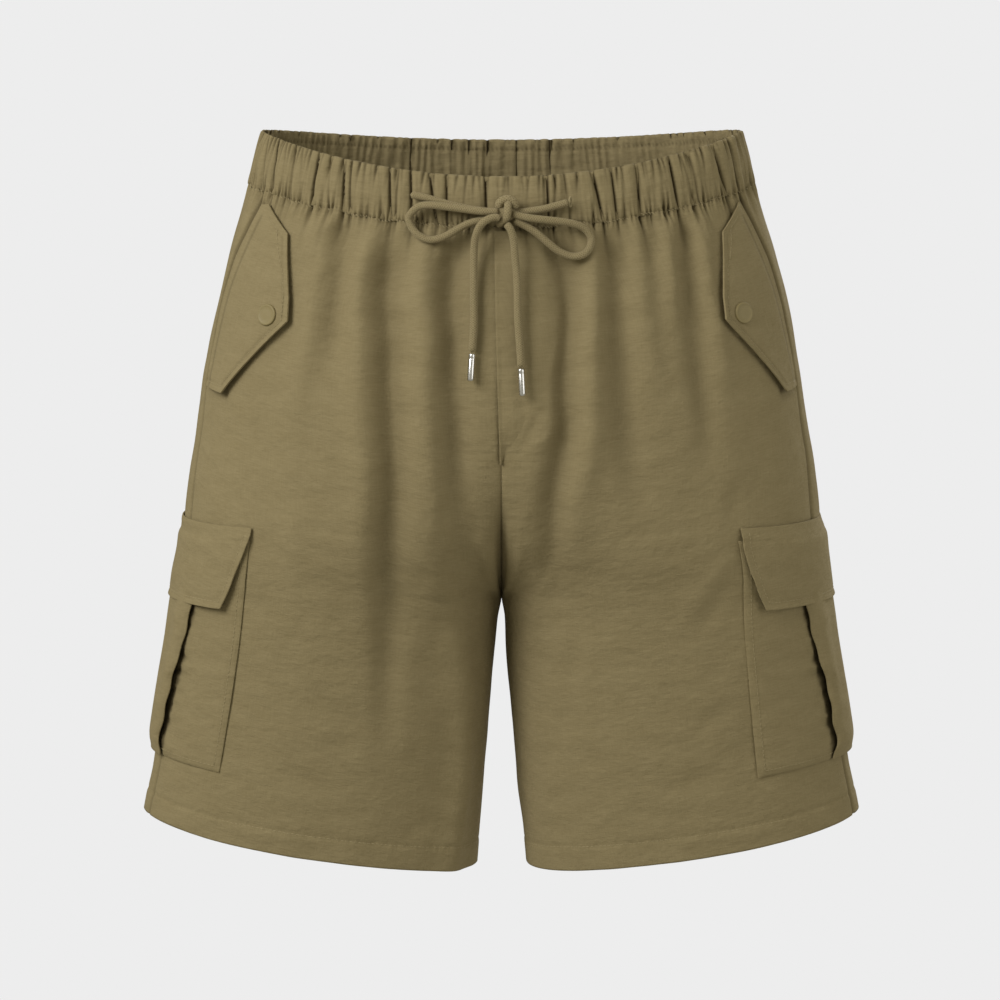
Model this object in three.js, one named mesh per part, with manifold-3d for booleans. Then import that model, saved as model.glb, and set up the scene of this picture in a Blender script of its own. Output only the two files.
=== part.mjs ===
// Cargo shorts with a gathered drawstring waist, filled out and empty.
// Millimetres. +X is the wearer's left, -Y the front, +Z up. The origin is the centre of the waistband.
import * as THREE from "three";
import { mergeVertices } from "three/addons/utils/BufferGeometryUtils.js";
import Module from "manifold-3d";

const wasm = await Module();
wasm.setup();

// Driving sizes
const bandHeight = 39.6;
const rim = { side: 173, front: 92, back: 96.5, frontDip: 27.5, backDip: 11.6 };
const seamGap = 0.3;
const clothWall = 1.5;
const layerGap = 0.7;
const waistZ = -bandHeight / 2;
const legs = { left: 1, right: -1 };
const faces = { front: -1, back: 1 };

// Gathers of the waistband
const gathers = 82;
const columnsPerGather = 4;
const gatherDepth = 1.2;
const bandInside = -1.9;

// Panel grid
const panelColumns = 25;
const panelRows = [0, 26, 56, 92, 130, 166, 200, 228, 248, 261, 270, 288, 322, 366, 415, 463.3];

// Level sections of the cloth, at a drop below the waist seam. part is how much of the section
// has parted into two legs; the dips and the tilt set the cut level lower towards the middle.
const sections = table(
  ["drop", "side", "front", "back", "part", "frontDip", "backDip", "tilt", "gap"],
  [
    [0, 182.4, 96, 102, 0, 24, 10, 0, 0],
    [54, 200.9, 106, 114, 0.03, 22, 9, 0.01, 0],
    [100, 210.5, 111, 121, 0.1, 18, 8, 0.028, 0],
    [138, 216.6, 112, 124, 0.2, 15, 7, 0.043, 0],
    [175, 221, 110, 122, 0.34, 11, 5.5, 0.06, 0],
    [205, 226, 106, 117, 0.5, 8, 4, 0.075, 0],
    [235, 230.4, 101, 110, 0.72, 4.5, 2.5, 0.092, 0],
    [258, 232.6, 96, 104, 0.9, 1.5, 1, 0.104, 0],
    [270, 233.9, 93, 101, 1, 0, 0, 0.11, 0],
    [290, 236.4, 89, 96, 1, 0, 0, 0.116, 3],
    [340, 243.4, 83, 88, 1, 0, 0, 0.128, 7.5],
    [400, 252.4, 77, 81, 1, 0, 0, 0.139, 12.7],
    [463.3, 263.4, 72, 75, 1, 0, 0, 0.1497, 18.1],
  ],
);

// The largest folds. top and bottom are places across the panel, 0 at its inner edge and 1 at the
// side seam, at the drops from and to; rise is negative for a trough.
const folds = table(
  ["leg", "face", "top", "bottom", "from", "to", "width", "rise"],
  [
    [-1, -1, 0.559, 0.466, -25, 80, 11, -1.6],
    [-1, -1, 0.477, 0.427, -20, 130, 13, 1.8],
    [-1, -1, 0.413, 0.373, -25, 100, 12, -2.2],
    [-1, -1, 0.338, 0.417, -20, 310, 14, 2.2],
    [-1, -1, 0.262, 0.345, -20, 350, 14, -3],
    [-1, -1, 0.17, 0.143, -20, 165, 13, 2.2],
    [-1, -1, 0.097, 0.076, -20, 175, 12, -2.4],
    [-1, -1, 0.353, 0.308, 270, 430, 20, -1.6],
    [-1, -1, 0.28, 0.24, 250, 440, 20, 1.6],
    [1, -1, 0.163, 0.148, -10, 205, 12, -2.4],
    [1, -1, 0.229, 0.21, -25, 150, 12, 2.2],
    [1, -1, 0.298, 0.3, -25, 210, 14, -2.8],
    [1, -1, 0.422, 0.408, -20, 110, 13, 1.8],
    [1, -1, 0.507, 0.488, -25, 135, 13, -1.8],
    [1, -1, 0.12, 0.22, 190, 345, 14, -1.8],
    [1, -1, 0.31, 0.33, 230, 430, 22, -1.4],
    [1, -1, 0.24, 0.25, 240, 440, 20, 1.2],
    [-1, 1, 0.2, 0.16, -10, 140, 15, -2.6],
    [-1, 1, 0.37, 0.33, -10, 120, 16, -2.4],
    [-1, 1, 0.56, 0.5, -10, 110, 17, -2],
    [-1, 1, 0.3, 0.22, 200, 445, 28, -2.4],
    [-1, 1, 0.46, 0.42, 215, 430, 26, 1.8],
    [1, 1, 0.17, 0.15, -10, 150, 14, -2.8],
    [1, 1, 0.32, 0.29, -10, 110, 16, -2.2],
    [1, 1, 0.52, 0.47, -10, 120, 17, -2.2],
    [1, 1, 0.33, 0.24, 205, 450, 27, -2.2],
    [1, 1, 0.5, 0.44, 220, 435, 26, 1.8],
  ],
);
const foldEase = 34;
const foldEdge = 0.1;

// Hip flap over the slanted hand pocket: turn in degrees forward of the side seam, for each of
// its level rows the places of its outer (sewn) and front (free) edges
const hipFlap = table(
  ["outerTurn", "outerDrop", "frontTurn", "frontDrop"],
  [
    [23.4, 8, 25.8, 6],
    [22.2, 18, 36.5, 21.8],
    [19.4, 49, 39.9, 47.7],
    [17.4, 68, 41.9, 64.5],
    [16.2, 92, 43.2, 80.4],
    [15.3, 118, 34.5, 111],
    [14.9, 141, 25.5, 141.4],
  ],
);
const hipFlapColumns = 8;
const hipFlapWall = 1.3;
const hipFlapLift = 1.3;
const hipFlapShift = { left: -1, right: 1.6 };
const hipSnap = { turn: { left: 36.2, right: 38.8 }, drop: 79.4, radius: 7.75, height: 2 };

// Cargo pocket astride the side seam: level rows at a distance down from its flap's top line,
// with the turn in degrees at which each ends on the left and on the right leg
const cargo = {
  topDrop: 239,
  cornerRise: 9.2,
  cornerTurn: 54,
  bottomDrop: 412.5,
  height: 184,
};
const gussetRows = table(
  ["down", "left", "right"],
  [
    [10, 58.9, 53.5],
    [40, 61.6, 56],
    [80, 63.8, 56.6],
    [118, 64.4, 56.2],
    [152, 64.9, 55.5],
    [184, 65.3, 54.8],
  ],
);
const facePart = table(
  ["down", "left", "right", "outside"],
  [
    [18, 36.5, 33, 3.9],
    [40, 35.8, 32.4, 4.6],
    [75, 33.6, 30.2, 4.9],
    [110, 30.8, 27, 5],
    [145, 28.2, 23.6, 5],
    [172, 27.4, 21, 4.9],
    [184, 28.6, 20.4, 4.2],
  ],
);
const flapRows = table(
  ["down", "left", "right", "middle", "edge"],
  [
    [0, 56.3, 52.5, 0.7, 0.7],
    [5, 57, 53.2, 1.7, 1.6],
    [10, 57.7, 53.6, 3.2, 2.5],
    [17, 58.8, 53.6, 4.9, 2.8],
    [32, 59.2, 52.9, 5.6, 3],
    [48, 58, 51.3, 5.7, 3.2],
    [63, 55.8, 48.7, 5.7, 3.4],
  ],
);
const gussetWall = 1;
const faceInside = 2.4;
const faceHollow = 3.5;
const flapWall = 1.2;
const cargoColumns = { gusset: 16, face: 9, flap: 14 };

// Mock fly, from just over the centre seam to the wearer's left
const fly = { start: -5, end: 37, from: 2, to: 165, wall: 1, lift: 0.7, curve: 40, rows: 9, columns: 5 };

// Drawstring: braided cord with metal tips. Routes are hand-chosen points on its centre line.
const cordRadius = 2.65;
const cordSides = 8;
const cordStep = 13;
const tip = { radius: 2.3, length: 19 };
const cordRoutes = {
  cord_lead_right: [
    [-64, -93.4, -20.2],
    [-50.6, -96, -23.2],
    [-37, -97.6, -27],
    [-23.3, -98.9, -30],
    [-10.6, -99.6, -31.8],
    [-2.4, -99.8, -32.8],
  ],
  cord_lead_left: [
    [46.9, -96.8, -25.6],
    [38.2, -98, -28],
    [28.4, -98.9, -30.4],
    [18.6, -99.6, -31.8],
    [10.8, -99.9, -32.6],
    [2.4, -100.2, -33.2],
  ],
  cord_loop_right: [
    [-1.8, -106.2, -31.6],
    [-11.6, -106.6, -31.6],
    [-25.4, -105, -30],
    [-35.1, -103.6, -28.8],
    [-48.7, -101.2, -27.4],
    [-56.4, -99, -28],
    [-61.6, -97, -31.4],
    [-64.8, -95.4, -36.6],
    [-62.9, -96, -43.1],
    [-57.5, -98.2, -49],
    [-49.8, -99.8, -51.6],
    [-40.9, -101, -49.6],
    [-32.2, -101.8, -45],
    [-24.3, -102.8, -40.6],
    [-16.5, -103.8, -38.2],
    [-7, -104.4, -37],
  ],
  cord_loop_left: [
    [6.4, -105, -33.2],
    [18.6, -106, -35.8],
    [31, -105, -37.4],
    [43.1, -102.4, -39],
    [51.8, -99.8, -41],
    [58.7, -97.4, -44.7],
    [62.6, -97, -50.5],
    [61.6, -98.6, -57.4],
    [56.8, -100, -62.2],
    [49, -99.8, -63.2],
    [41.2, -100.4, -60.3],
    [33.3, -101.8, -54.4],
    [25.5, -102.4, -47.6],
    [17.7, -103.4, -42.2],
    [8, -104.4, -37.4],
  ],
  cord_end_right: [
    [-1.2, -110.7, -35.8],
    [-4.8, -112, -35.2],
    [-9.6, -112.8, -36.4],
    [-14.6, -111.8, -40.6],
    [-17.8, -109.4, -47.6],
    [-19, -107.4, -56],
    [-19.4, -107.2, -67.1],
    [-19.5, -109, -86.8],
    [-19.4, -111.6, -110.1],
    [-20.6, -113.6, -130],
  ],
  cord_end_left: [
    [3, -109, -39.4],
    [6.4, -110, -44.2],
    [8.4, -109.6, -51.6],
    [9.4, -109.6, -62.2],
    [10.4, -109.8, -72],
    [11, -111.6, -86.8],
    [11.4, -113.7, -105.7],
    [12.9, -115.6, -126.4],
    [13.6, -116.4, -140.2],
  ],
};
const knotRoutes = {
  wrap: [
    [4.2, -101.5, -25.8],
    [4.4, -107.6, -27.6],
    [4.2, -109.6, -31.4],
    [3.4, -109.4, -35],
    [0.4, -107.8, -38.4],
    [-3, -104.6, -40.8],
  ],
  arch: [
    [-1.6, -102, -30],
    [-0.9, -103, -25.6],
    [3.7, -103.4, -23.3],
    [8.3, -103, -25.6],
    [9, -102, -30],
  ],
};
const knotRadii = { wrap: cordRadius, arch: 3.2 };
const knotCore = { at: [3.2, -103.6, -33.4], radii: [8.6, 5, 6.4] };

const material = (color, roughness, metalness = 0) =>
  new THREE.MeshStandardMaterial({ color, roughness, metalness });
const finishes = {
  cloth: material(0x7f7250, 0.9),
  cord: material(0x8a7d59, 0.92),
  snap: material(0x7b6e4b, 0.7),
  metal: material(0xb9b6ae, 0.3, 0.9),
};

function table(columns, rows) {
  return rows.map((row) => Object.fromEntries(columns.map((name, i) => [name, row[i]])));
}

const radians = (degrees) => THREE.MathUtils.degToRad(degrees);
const ease = THREE.MathUtils.smoothstep;

// Slope of a column at one row that never lets the curve overshoot its rows
function slopeAt(rows, key, column, i) {
  const rate = (k) => (rows[k + 1][column] - rows[k][column]) / (rows[k + 1][key] - rows[k][key]);
  if (i === 0) return rate(0);
  if (i === rows.length - 1) return rate(i - 1);
  const before = rate(i - 1);
  const after = rate(i);
  return before * after > 0 ? (2 * before * after) / (before + after) : 0;
}

// Smooth value of a column where the key column has the value x
function valueAt(rows, key, column, x) {
  const held = THREE.MathUtils.clamp(x, rows[0][key], rows[rows.length - 1][key]);
  let i = 0;
  while (i < rows.length - 2 && rows[i + 1][key] < held) i += 1;
  const step = rows[i + 1][key] - rows[i][key];
  const t = (held - rows[i][key]) / step;
  const leave = slopeAt(rows, key, column, i) * step;
  const arrive = slopeAt(rows, key, column, i + 1) * step;
  const start = rows[i][column];
  const end = rows[i + 1][column];
  return (
    start * (2 * t ** 3 - 3 * t ** 2 + 1) +
    leave * (t ** 3 - 2 * t ** 2 + t) +
    end * (3 * t ** 2 - 2 * t ** 3) +
    arrive * (t ** 3 - t ** 2)
  );
}

// Turn at a panel's inner edge: a quarter turn at the waist, half a turn round a leg
const innerTurn = (drop) => Math.acos(-valueAt(sections, "drop", "part", drop));

// Bare cloth surface. turn is in radians from the side seam, positive to the front
function basePoint(leg, turn, drop) {
  const at = (column) => valueAt(sections, "drop", column, drop);
  const side = at("side");
  const gap = at("gap") + seamGap / 2;
  const half = (side - gap) / (1 + at("part"));
  const round = Math.abs(turn);
  const front = turn > 0;
  const x = side - half + half * Math.cos(round);
  const y = (front ? -at("front") : at("back")) * Math.sin(round);
  const dip = front ? at("frontDip") : at("backDip");
  const level = dip * Math.sin(Math.min(round, Math.PI / 2)) ** 2;
  return new THREE.Vector3(leg * x, y, waistZ - drop - level - at("tilt") * (side - x));
}

function baseNormal(leg, turn, drop) {
  const step = { turn: 0.002, drop: 0.2 };
  const down = Math.min(drop, sections[sections.length - 1].drop - step.drop);
  const across = basePoint(leg, turn + step.turn, down).sub(basePoint(leg, turn - step.turn, down));
  const along = basePoint(leg, turn, down + step.drop).sub(basePoint(leg, turn, down - step.drop));
  return across.cross(along).multiplyScalar(leg).normalize();
}

// How far the folds raise the cloth at a place
function foldRise(leg, turn, drop) {
  const inner = innerTurn(drop);
  const place = 1 - Math.abs(turn) / inner;
  const face = turn > 0 ? faces.front : faces.back;
  const side = valueAt(sections, "drop", "side", drop);
  const across = (inner * side) / (1 + valueAt(sections, "drop", "part", drop));
  const edges = ease(place, 0, foldEdge) * ease(1 - place, 0, foldEdge);
  return folds
    .filter((fold) => fold.leg === leg && fold.face === face)
    .reduce((sum, fold) => {
      const t = (drop - fold.from) / (fold.to - fold.from);
      const middle = THREE.MathUtils.lerp(fold.top, fold.bottom, t);
      const off = ((place - middle) * across) / fold.width;
      const fades = ease(drop, fold.from, fold.from + foldEase) * (1 - ease(drop, fold.to - foldEase, fold.to));
      return sum + fold.rise * edges * fades * Math.exp(-off * off);
    }, 0);
}

// A point of the folded cloth, moved out by a distance
function clothPoint(leg, turn, drop, out = 0) {
  const rise = foldRise(leg, turn, drop) + out;
  return basePoint(leg, turn, drop).addScaledVector(baseNormal(leg, turn, drop), rise);
}

// Closed wall between an outer and an inner grid of points of the same size
function wallGeometry(outer, inner) {
  const rows = outer.length;
  const columns = outer[0].length;
  const at = (layer, row, column) => (layer * rows + row) * columns + column;
  const index = [];
  const quad = (a, b, c, d) => index.push(a, b, c, a, c, d);
  for (let row = 0; row < rows - 1; row += 1) {
    for (let i = 0; i < columns - 1; i += 1) {
      quad(at(0, row, i), at(0, row, i + 1), at(0, row + 1, i + 1), at(0, row + 1, i));
      quad(at(1, row, i + 1), at(1, row, i), at(1, row + 1, i), at(1, row + 1, i + 1));
    }
  }
  for (let i = 0; i < columns - 1; i += 1) {
    quad(at(0, 0, i + 1), at(0, 0, i), at(1, 0, i), at(1, 0, i + 1));
    quad(at(0, rows - 1, i), at(0, rows - 1, i + 1), at(1, rows - 1, i + 1), at(1, rows - 1, i));
  }
  const last = columns - 1;
  for (let row = 0; row < rows - 1; row += 1) {
    quad(at(0, row, 0), at(0, row + 1, 0), at(1, row + 1, 0), at(1, row, 0));
    quad(at(0, row + 1, last), at(0, row, last), at(1, row, last), at(1, row + 1, last));
  }
  const geometry = new THREE.BufferGeometry().setFromPoints([...outer.flat(), ...inner.flat()]);
  geometry.setIndex(index);
  return facingOut(geometry);
}

// Turns every face round where the closed surface faces inwards
function facingOut(geometry) {
  const place = geometry.getAttribute("position");
  const index = geometry.getIndex().array;
  const [a, b, c] = [new THREE.Vector3(), new THREE.Vector3(), new THREE.Vector3()];
  let volume = 0;
  for (let i = 0; i < index.length; i += 3) {
    a.fromBufferAttribute(place, index[i]);
    b.fromBufferAttribute(place, index[i + 1]);
    c.fromBufferAttribute(place, index[i + 2]);
    volume += a.dot(b.cross(c));
  }
  if (volume < 0) {
    const turned = [];
    for (let i = 0; i < index.length; i += 3) turned.push(index[i], index[i + 2], index[i + 1]);
    geometry.setIndex(turned);
  }
  geometry.computeVertexNormals();
  return geometry;
}

const steps = (count) => Array.from({ length: count + 1 }, (_, i) => i / count);
const sideOf = (leg) => (leg === legs.left ? "left" : "right");

// Rows of a patch that lies on the cloth; place(row, across) gives its turn, drop and two offsets
function patchGeometry(leg, rows, columns, place) {
  const grid = (pick) =>
    rows.map((row) =>
      steps(columns).map((across) => {
        const spot = place(row, across);
        return clothPoint(spot.leg ?? leg, spot.turn, spot.drop, spot[pick]);
      }),
    );
  return wallGeometry(grid("outside"), grid("inside"));
}

// One of the four body panels, half the seam gap back from the side seam and the inseam
function panelGeometry(leg, face) {
  const trim = new THREE.Vector3(0, (face * seamGap) / 2, 0);
  const grid = (out) =>
    panelRows.map((drop, row) => {
      const held = row === 0 ? seamGap / 2 : drop;
      return steps(panelColumns).map((s) => {
        const turn = Math.max(1e-6, innerTurn(held) * (1 - s));
        return clothPoint(leg, -face * turn, held, out).add(trim);
      });
    });
  return wallGeometry(grid(0), grid(-clothWall));
}

// Uneven pitch of the gathers round the waist
const gatherWarp = (round) => 0.035 * Math.sin(5 * round + 0.6) + 0.022 * Math.sin(13 * round + 2.1);
const gatherWave = [0.15, 1, 0.1, -1];

// A point on the waistband at a height between 0, its seam, and 1, its rim
function bandPoint(round, height, out) {
  const mix = (a, b) => THREE.MathUtils.lerp(a, b, height);
  const front = Math.sin(round) > 0;
  const side = mix(sections[0].side, rim.side);
  const depth = front ? mix(sections[0].front, rim.front) : mix(sections[0].back, rim.back);
  const dip = front ? mix(sections[0].frontDip, rim.frontDip) : mix(sections[0].backDip, rim.backDip);
  const base = mix(waistZ + seamGap / 2, -waistZ);
  const swell = new THREE.Vector2(Math.cos(round) / side, Math.sin(round) / depth).normalize();
  return new THREE.Vector3(
    side * Math.cos(round) + out * swell.x,
    -depth * Math.sin(round) - out * swell.y,
    base - dip * Math.sin(round) ** 2,
  );
}

// Gathered casing: the gathers stand out over a plain inside. Its rows run up the outside, over
// the rim and down the inside, so the grid closes both ways.
function waistbandGeometry() {
  const profile = table(
    ["height", "out", "depth"],
    [
      [0, 0.2, 0.5],
      [0.18, 0.8, 1],
      [0.82, 1.1, 1],
      [1, 0, 0.55],
      [1, bandInside, 0],
      [0, bandInside, 0],
    ],
  );
  const count = gathers * columnsPerGather;
  const rounds = steps(count)
    .slice(0, count)
    .map((t) => 2 * Math.PI * t)
    .map((round) => round + gatherWarp(round));
  const strength = (i) => 0.75 + 0.25 * Math.sin(Math.floor(i / columnsPerGather) * 2.4);
  const loop = profile.map((row) =>
    rounds.map((round, i) => {
      const wave = gatherWave[i % columnsPerGather] * strength(i);
      return bandPoint(round, row.height, row.out + row.depth * gatherDepth * wave);
    }),
  );
  const index = [];
  profile.forEach((_, row) => {
    rounds.forEach((__, i) => {
      const at = (r, c) => (r % profile.length) * count + (c % count);
      index.push(at(row, i), at(row, i + 1), at(row + 1, i + 1));
      index.push(at(row, i), at(row + 1, i + 1), at(row + 1, i));
    });
  });
  const geometry = new THREE.BufferGeometry().setFromPoints(loop.flat());
  geometry.setIndex(index);
  return facingOut(geometry);
}

// Drop of a place on the cargo pocket, at a distance down from its top line
function cargoDrop(turn, down) {
  const top = cargo.topDrop - cargo.cornerRise * (turn / cargo.cornerTurn) ** 2;
  return THREE.MathUtils.lerp(top, cargo.bottomDrop, down / cargo.height);
}

function cargoSpot(leg, row, across, outside, inside) {
  const turn = row[sideOf(leg)] * (1 - 2 * across);
  return { turn: radians(turn), drop: cargoDrop(turn, row.down), outside, inside };
}

const cargoGusset = (leg) =>
  patchGeometry(leg, gussetRows, cargoColumns.gusset, (row, across) =>
    cargoSpot(leg, row, across, layerGap + gussetWall, layerGap),
  );

const cargoFace = (leg) =>
  patchGeometry(leg, facePart, cargoColumns.face, (row, across) => {
    const last = facePart[facePart.length - 1];
    const border = across === 0 || across === 1 || row === facePart[0] || row === last;
    return cargoSpot(leg, row, across, row.outside, border ? faceInside : Math.min(faceHollow, row.outside - 1));
  });

const cargoFlap = (leg) =>
  patchGeometry(leg, flapRows, cargoColumns.flap, (row, across) => {
    const side = ease(Math.abs(1 - 2 * across), 0.55, 0.95);
    const inside = THREE.MathUtils.lerp(row.middle, row.edge, side);
    return cargoSpot(leg, row, across, inside + flapWall, inside);
  });

const hipFlapGeometry = (leg) =>
  patchGeometry(leg, hipFlap, hipFlapColumns, (row, across) => ({
    turn: radians(THREE.MathUtils.lerp(row.outerTurn, row.frontTurn + hipFlapShift[sideOf(leg)], across)),
    drop: THREE.MathUtils.lerp(row.outerDrop, row.frontDrop, across),
    inside: hipFlapLift,
    outside: hipFlapLift + hipFlapWall,
  }));

// Covered snap: a low dome on the hip flap, turned to face out
function hipSnapMesh(name, leg) {
  const { radius, height } = hipSnap;
  const profile = [
    [0, 0],
    [radius - 0.7, 0],
    [radius, 0.6],
    [radius - 0.5, height - 0.5],
    [radius - 2.2, height],
    [0, height + 0.3],
  ].map(([r, h]) => new THREE.Vector2(r, h));
  const geometry = new THREE.LatheGeometry(profile, 24);
  const turn = radians(hipSnap.turn[sideOf(leg)]);
  const out = clothNormal(leg, turn, hipSnap.drop);
  const lift = hipFlapLift + hipFlapWall + seamGap;
  const mesh = new THREE.Mesh(geometry, finishes.snap);
  mesh.name = name;
  mesh.position.copy(clothPoint(leg, turn, hipSnap.drop, lift));
  mesh.quaternion.setFromUnitVectors(new THREE.Vector3(0, 1, 0), out);
  return mesh;
}

// Normal of the folded cloth, over the width of a snap
function clothNormal(leg, turn, drop) {
  const step = { turn: 0.04, drop: 5 };
  const across = clothPoint(leg, turn + step.turn, drop).sub(clothPoint(leg, turn - step.turn, drop));
  const along = clothPoint(leg, turn, drop + step.drop).sub(clothPoint(leg, turn, drop - step.drop));
  return across.cross(along).multiplyScalar(leg).normalize();
}

// Mock fly: a strip with a rounded foot, that bridges the centre seam
function flyGeometry() {
  const rows = steps(fly.rows).map((t) => THREE.MathUtils.lerp(fly.from, fly.to, t));
  return patchGeometry(legs.left, rows, fly.columns, (drop, across) => {
    const foot = THREE.MathUtils.clamp((drop - (fly.to - fly.curve)) / fly.curve, 0, 0.95);
    const x = THREE.MathUtils.lerp(fly.start, fly.end * Math.sqrt(1 - foot ** 2), across);
    const half = valueAt(sections, "drop", "side", drop) / (1 + valueAt(sections, "drop", "part", drop));
    return {
      leg: x < 0 ? legs.right : legs.left,
      turn: innerTurn(drop) - Math.abs(x) / half,
      drop,
      inside: fly.lift,
      outside: fly.lift + fly.wall,
    };
  });
}

const toCurve = (points) =>
  new THREE.CatmullRomCurve3(
    points.map((point) => new THREE.Vector3(...point)),
    false,
    "centripetal",
  );

// Round section swept along a route
function sweptCord(points, radius, stepLength = cordStep) {
  const path = toCurve(points);
  const section = new THREE.Shape(
    steps(cordSides)
      .slice(0, cordSides)
      .map((t) => new THREE.Vector2(radius * Math.cos(2 * Math.PI * t), radius * Math.sin(2 * Math.PI * t))),
  );
  return new THREE.ExtrudeGeometry(section, {
    steps: Math.max(2, Math.round(path.getLength() / stepLength)),
    extrudePath: path,
  });
}

// A closed three.js geometry as a solid, and back
function solidOf(geometry) {
  const bare = geometry.clone();
  bare.deleteAttribute("normal");
  bare.deleteAttribute("uv");
  const merged = facingOut(mergeVertices(bare, 1e-3));
  return new wasm.Manifold(
    new wasm.Mesh({
      numProp: 3,
      vertProperties: merged.getAttribute("position").array,
      triVerts: new Uint32Array(merged.getIndex().array),
    }),
  );
}

function geometryOf(solid) {
  const { vertProperties, triVerts } = solid.getMesh();
  const geometry = new THREE.BufferGeometry();
  geometry.setAttribute("position", new THREE.BufferAttribute(vertProperties, 3));
  geometry.setIndex(new THREE.BufferAttribute(triVerts, 1));
  geometry.computeVertexNormals();
  return geometry;
}

// The knot, its strands thickened by grow
function knotSolid(grow) {
  const core = new THREE.SphereGeometry(1, 16, 10);
  core.scale(...knotCore.radii.map((radius) => radius + grow));
  core.translate(...knotCore.at);
  return Object.entries(knotRoutes)
    .map(([name, route]) => solidOf(sweptCord(route, knotRadii[name] + grow, 5)))
    .reduce((whole, strand) => whole.add(strand), solidOf(core));
}

// Each strand stops just short of the knot it goes into
function strandGeometry(route) {
  const pieces = solidOf(sweptCord(route, cordRadius)).subtract(knotSolid(seamGap)).decompose();
  const longest = pieces.reduce((best, piece) => (piece.volume() > best.volume() ? piece : best));
  return geometryOf(longest);
}

// Metal tip that carries on from the end of a strand
function tipGeometry(route) {
  const end = new THREE.Vector3(...route[route.length - 1]);
  const direction = toCurve(route).getTangent(1);
  const start = end.clone().addScaledVector(direction, seamGap);
  const stop = start.clone().addScaledVector(direction, tip.length);
  return sweptCord([start.toArray(), start.clone().lerp(stop, 0.5).toArray(), stop.toArray()], tip.radius);
}

const shorts = new THREE.Group();

function addPiece(name, geometry, finish) {
  const mesh = new THREE.Mesh(geometry, finish);
  mesh.name = name;
  shorts.add(mesh);
}

addPiece("waistband", waistbandGeometry(), finishes.cloth);
for (const [side, leg] of Object.entries(legs)) {
  addPiece(`front_${side}`, panelGeometry(leg, faces.front), finishes.cloth);
  addPiece(`back_${side}`, panelGeometry(leg, faces.back), finishes.cloth);
  addPiece(`hip_flap_${side}`, hipFlapGeometry(leg), finishes.cloth);
  addPiece(`cargo_gusset_${side}`, cargoGusset(leg), finishes.cloth);
  addPiece(`cargo_face_${side}`, cargoFace(leg), finishes.cloth);
  addPiece(`cargo_flap_${side}`, cargoFlap(leg), finishes.cloth);
  addPiece(`cord_tip_${side}`, tipGeometry(cordRoutes[`cord_end_${side}`]), finishes.metal);
  shorts.add(hipSnapMesh(`hip_snap_${side}`, leg));
}
addPiece("fly_placket", flyGeometry(), finishes.cloth);
for (const [name, route] of Object.entries(cordRoutes)) {
  addPiece(name, strandGeometry(route), finishes.cord);
}
addPiece("cord_knot", geometryOf(knotSolid(0)), finishes.cord);

export default shorts;
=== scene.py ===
"""Looks of the cargo shorts: gathered cloth, pockets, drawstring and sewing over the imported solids."""
import math

import bmesh
import bpy
import numpy as np
from mathutils import Matrix, Vector, noise


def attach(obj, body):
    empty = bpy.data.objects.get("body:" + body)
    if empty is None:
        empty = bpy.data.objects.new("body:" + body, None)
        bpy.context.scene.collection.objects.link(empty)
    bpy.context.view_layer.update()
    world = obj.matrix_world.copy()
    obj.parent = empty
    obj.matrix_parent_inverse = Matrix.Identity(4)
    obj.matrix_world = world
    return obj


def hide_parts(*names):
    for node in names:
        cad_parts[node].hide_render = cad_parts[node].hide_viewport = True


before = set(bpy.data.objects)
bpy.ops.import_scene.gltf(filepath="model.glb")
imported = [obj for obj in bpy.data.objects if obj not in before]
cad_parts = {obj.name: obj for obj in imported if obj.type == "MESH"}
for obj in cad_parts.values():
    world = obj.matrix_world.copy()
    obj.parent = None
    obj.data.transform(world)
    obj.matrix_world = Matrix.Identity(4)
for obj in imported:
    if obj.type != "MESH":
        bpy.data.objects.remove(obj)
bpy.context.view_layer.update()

BODY = "root"
LEGS = {"left": 1, "right": -1}
FACES = {"front": 1, "back": -1}

# Camera of the photograph
CAMERA_DISTANCE = 3.0
CAMERA_DROP = math.radians(8)
CAMERA_TARGET = Vector((-0.0011, 0, -0.2495))
CAMERA_LENS = 147.9

# Stage
BACKDROP = (0.847, 0.847, 0.847, 1)
ROOM_LIGHT = (1.0, 0.975, 0.83, 1)
ROOM_STRENGTH = 0.395
FLOOR_Z = -1.6
FLOOR_SIZE = 60.0


def table(columns, rows):
    """Rows of a table as one array for each named column."""
    return dict(zip(columns, np.array(rows, float).T))


# Driving sizes, in metres, as in the part's source
BAND_HEIGHT = 0.0396
WAIST_Z = -BAND_HEIGHT / 2
HEM_DROP = 0.4633
HEM_TURNED = 0.017
HEM_LIFT = 0.0056
rim = {"side": 0.173, "front": 0.092, "back": 0.0965, "front_dip": 0.0275, "back_dip": 0.0116}

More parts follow.
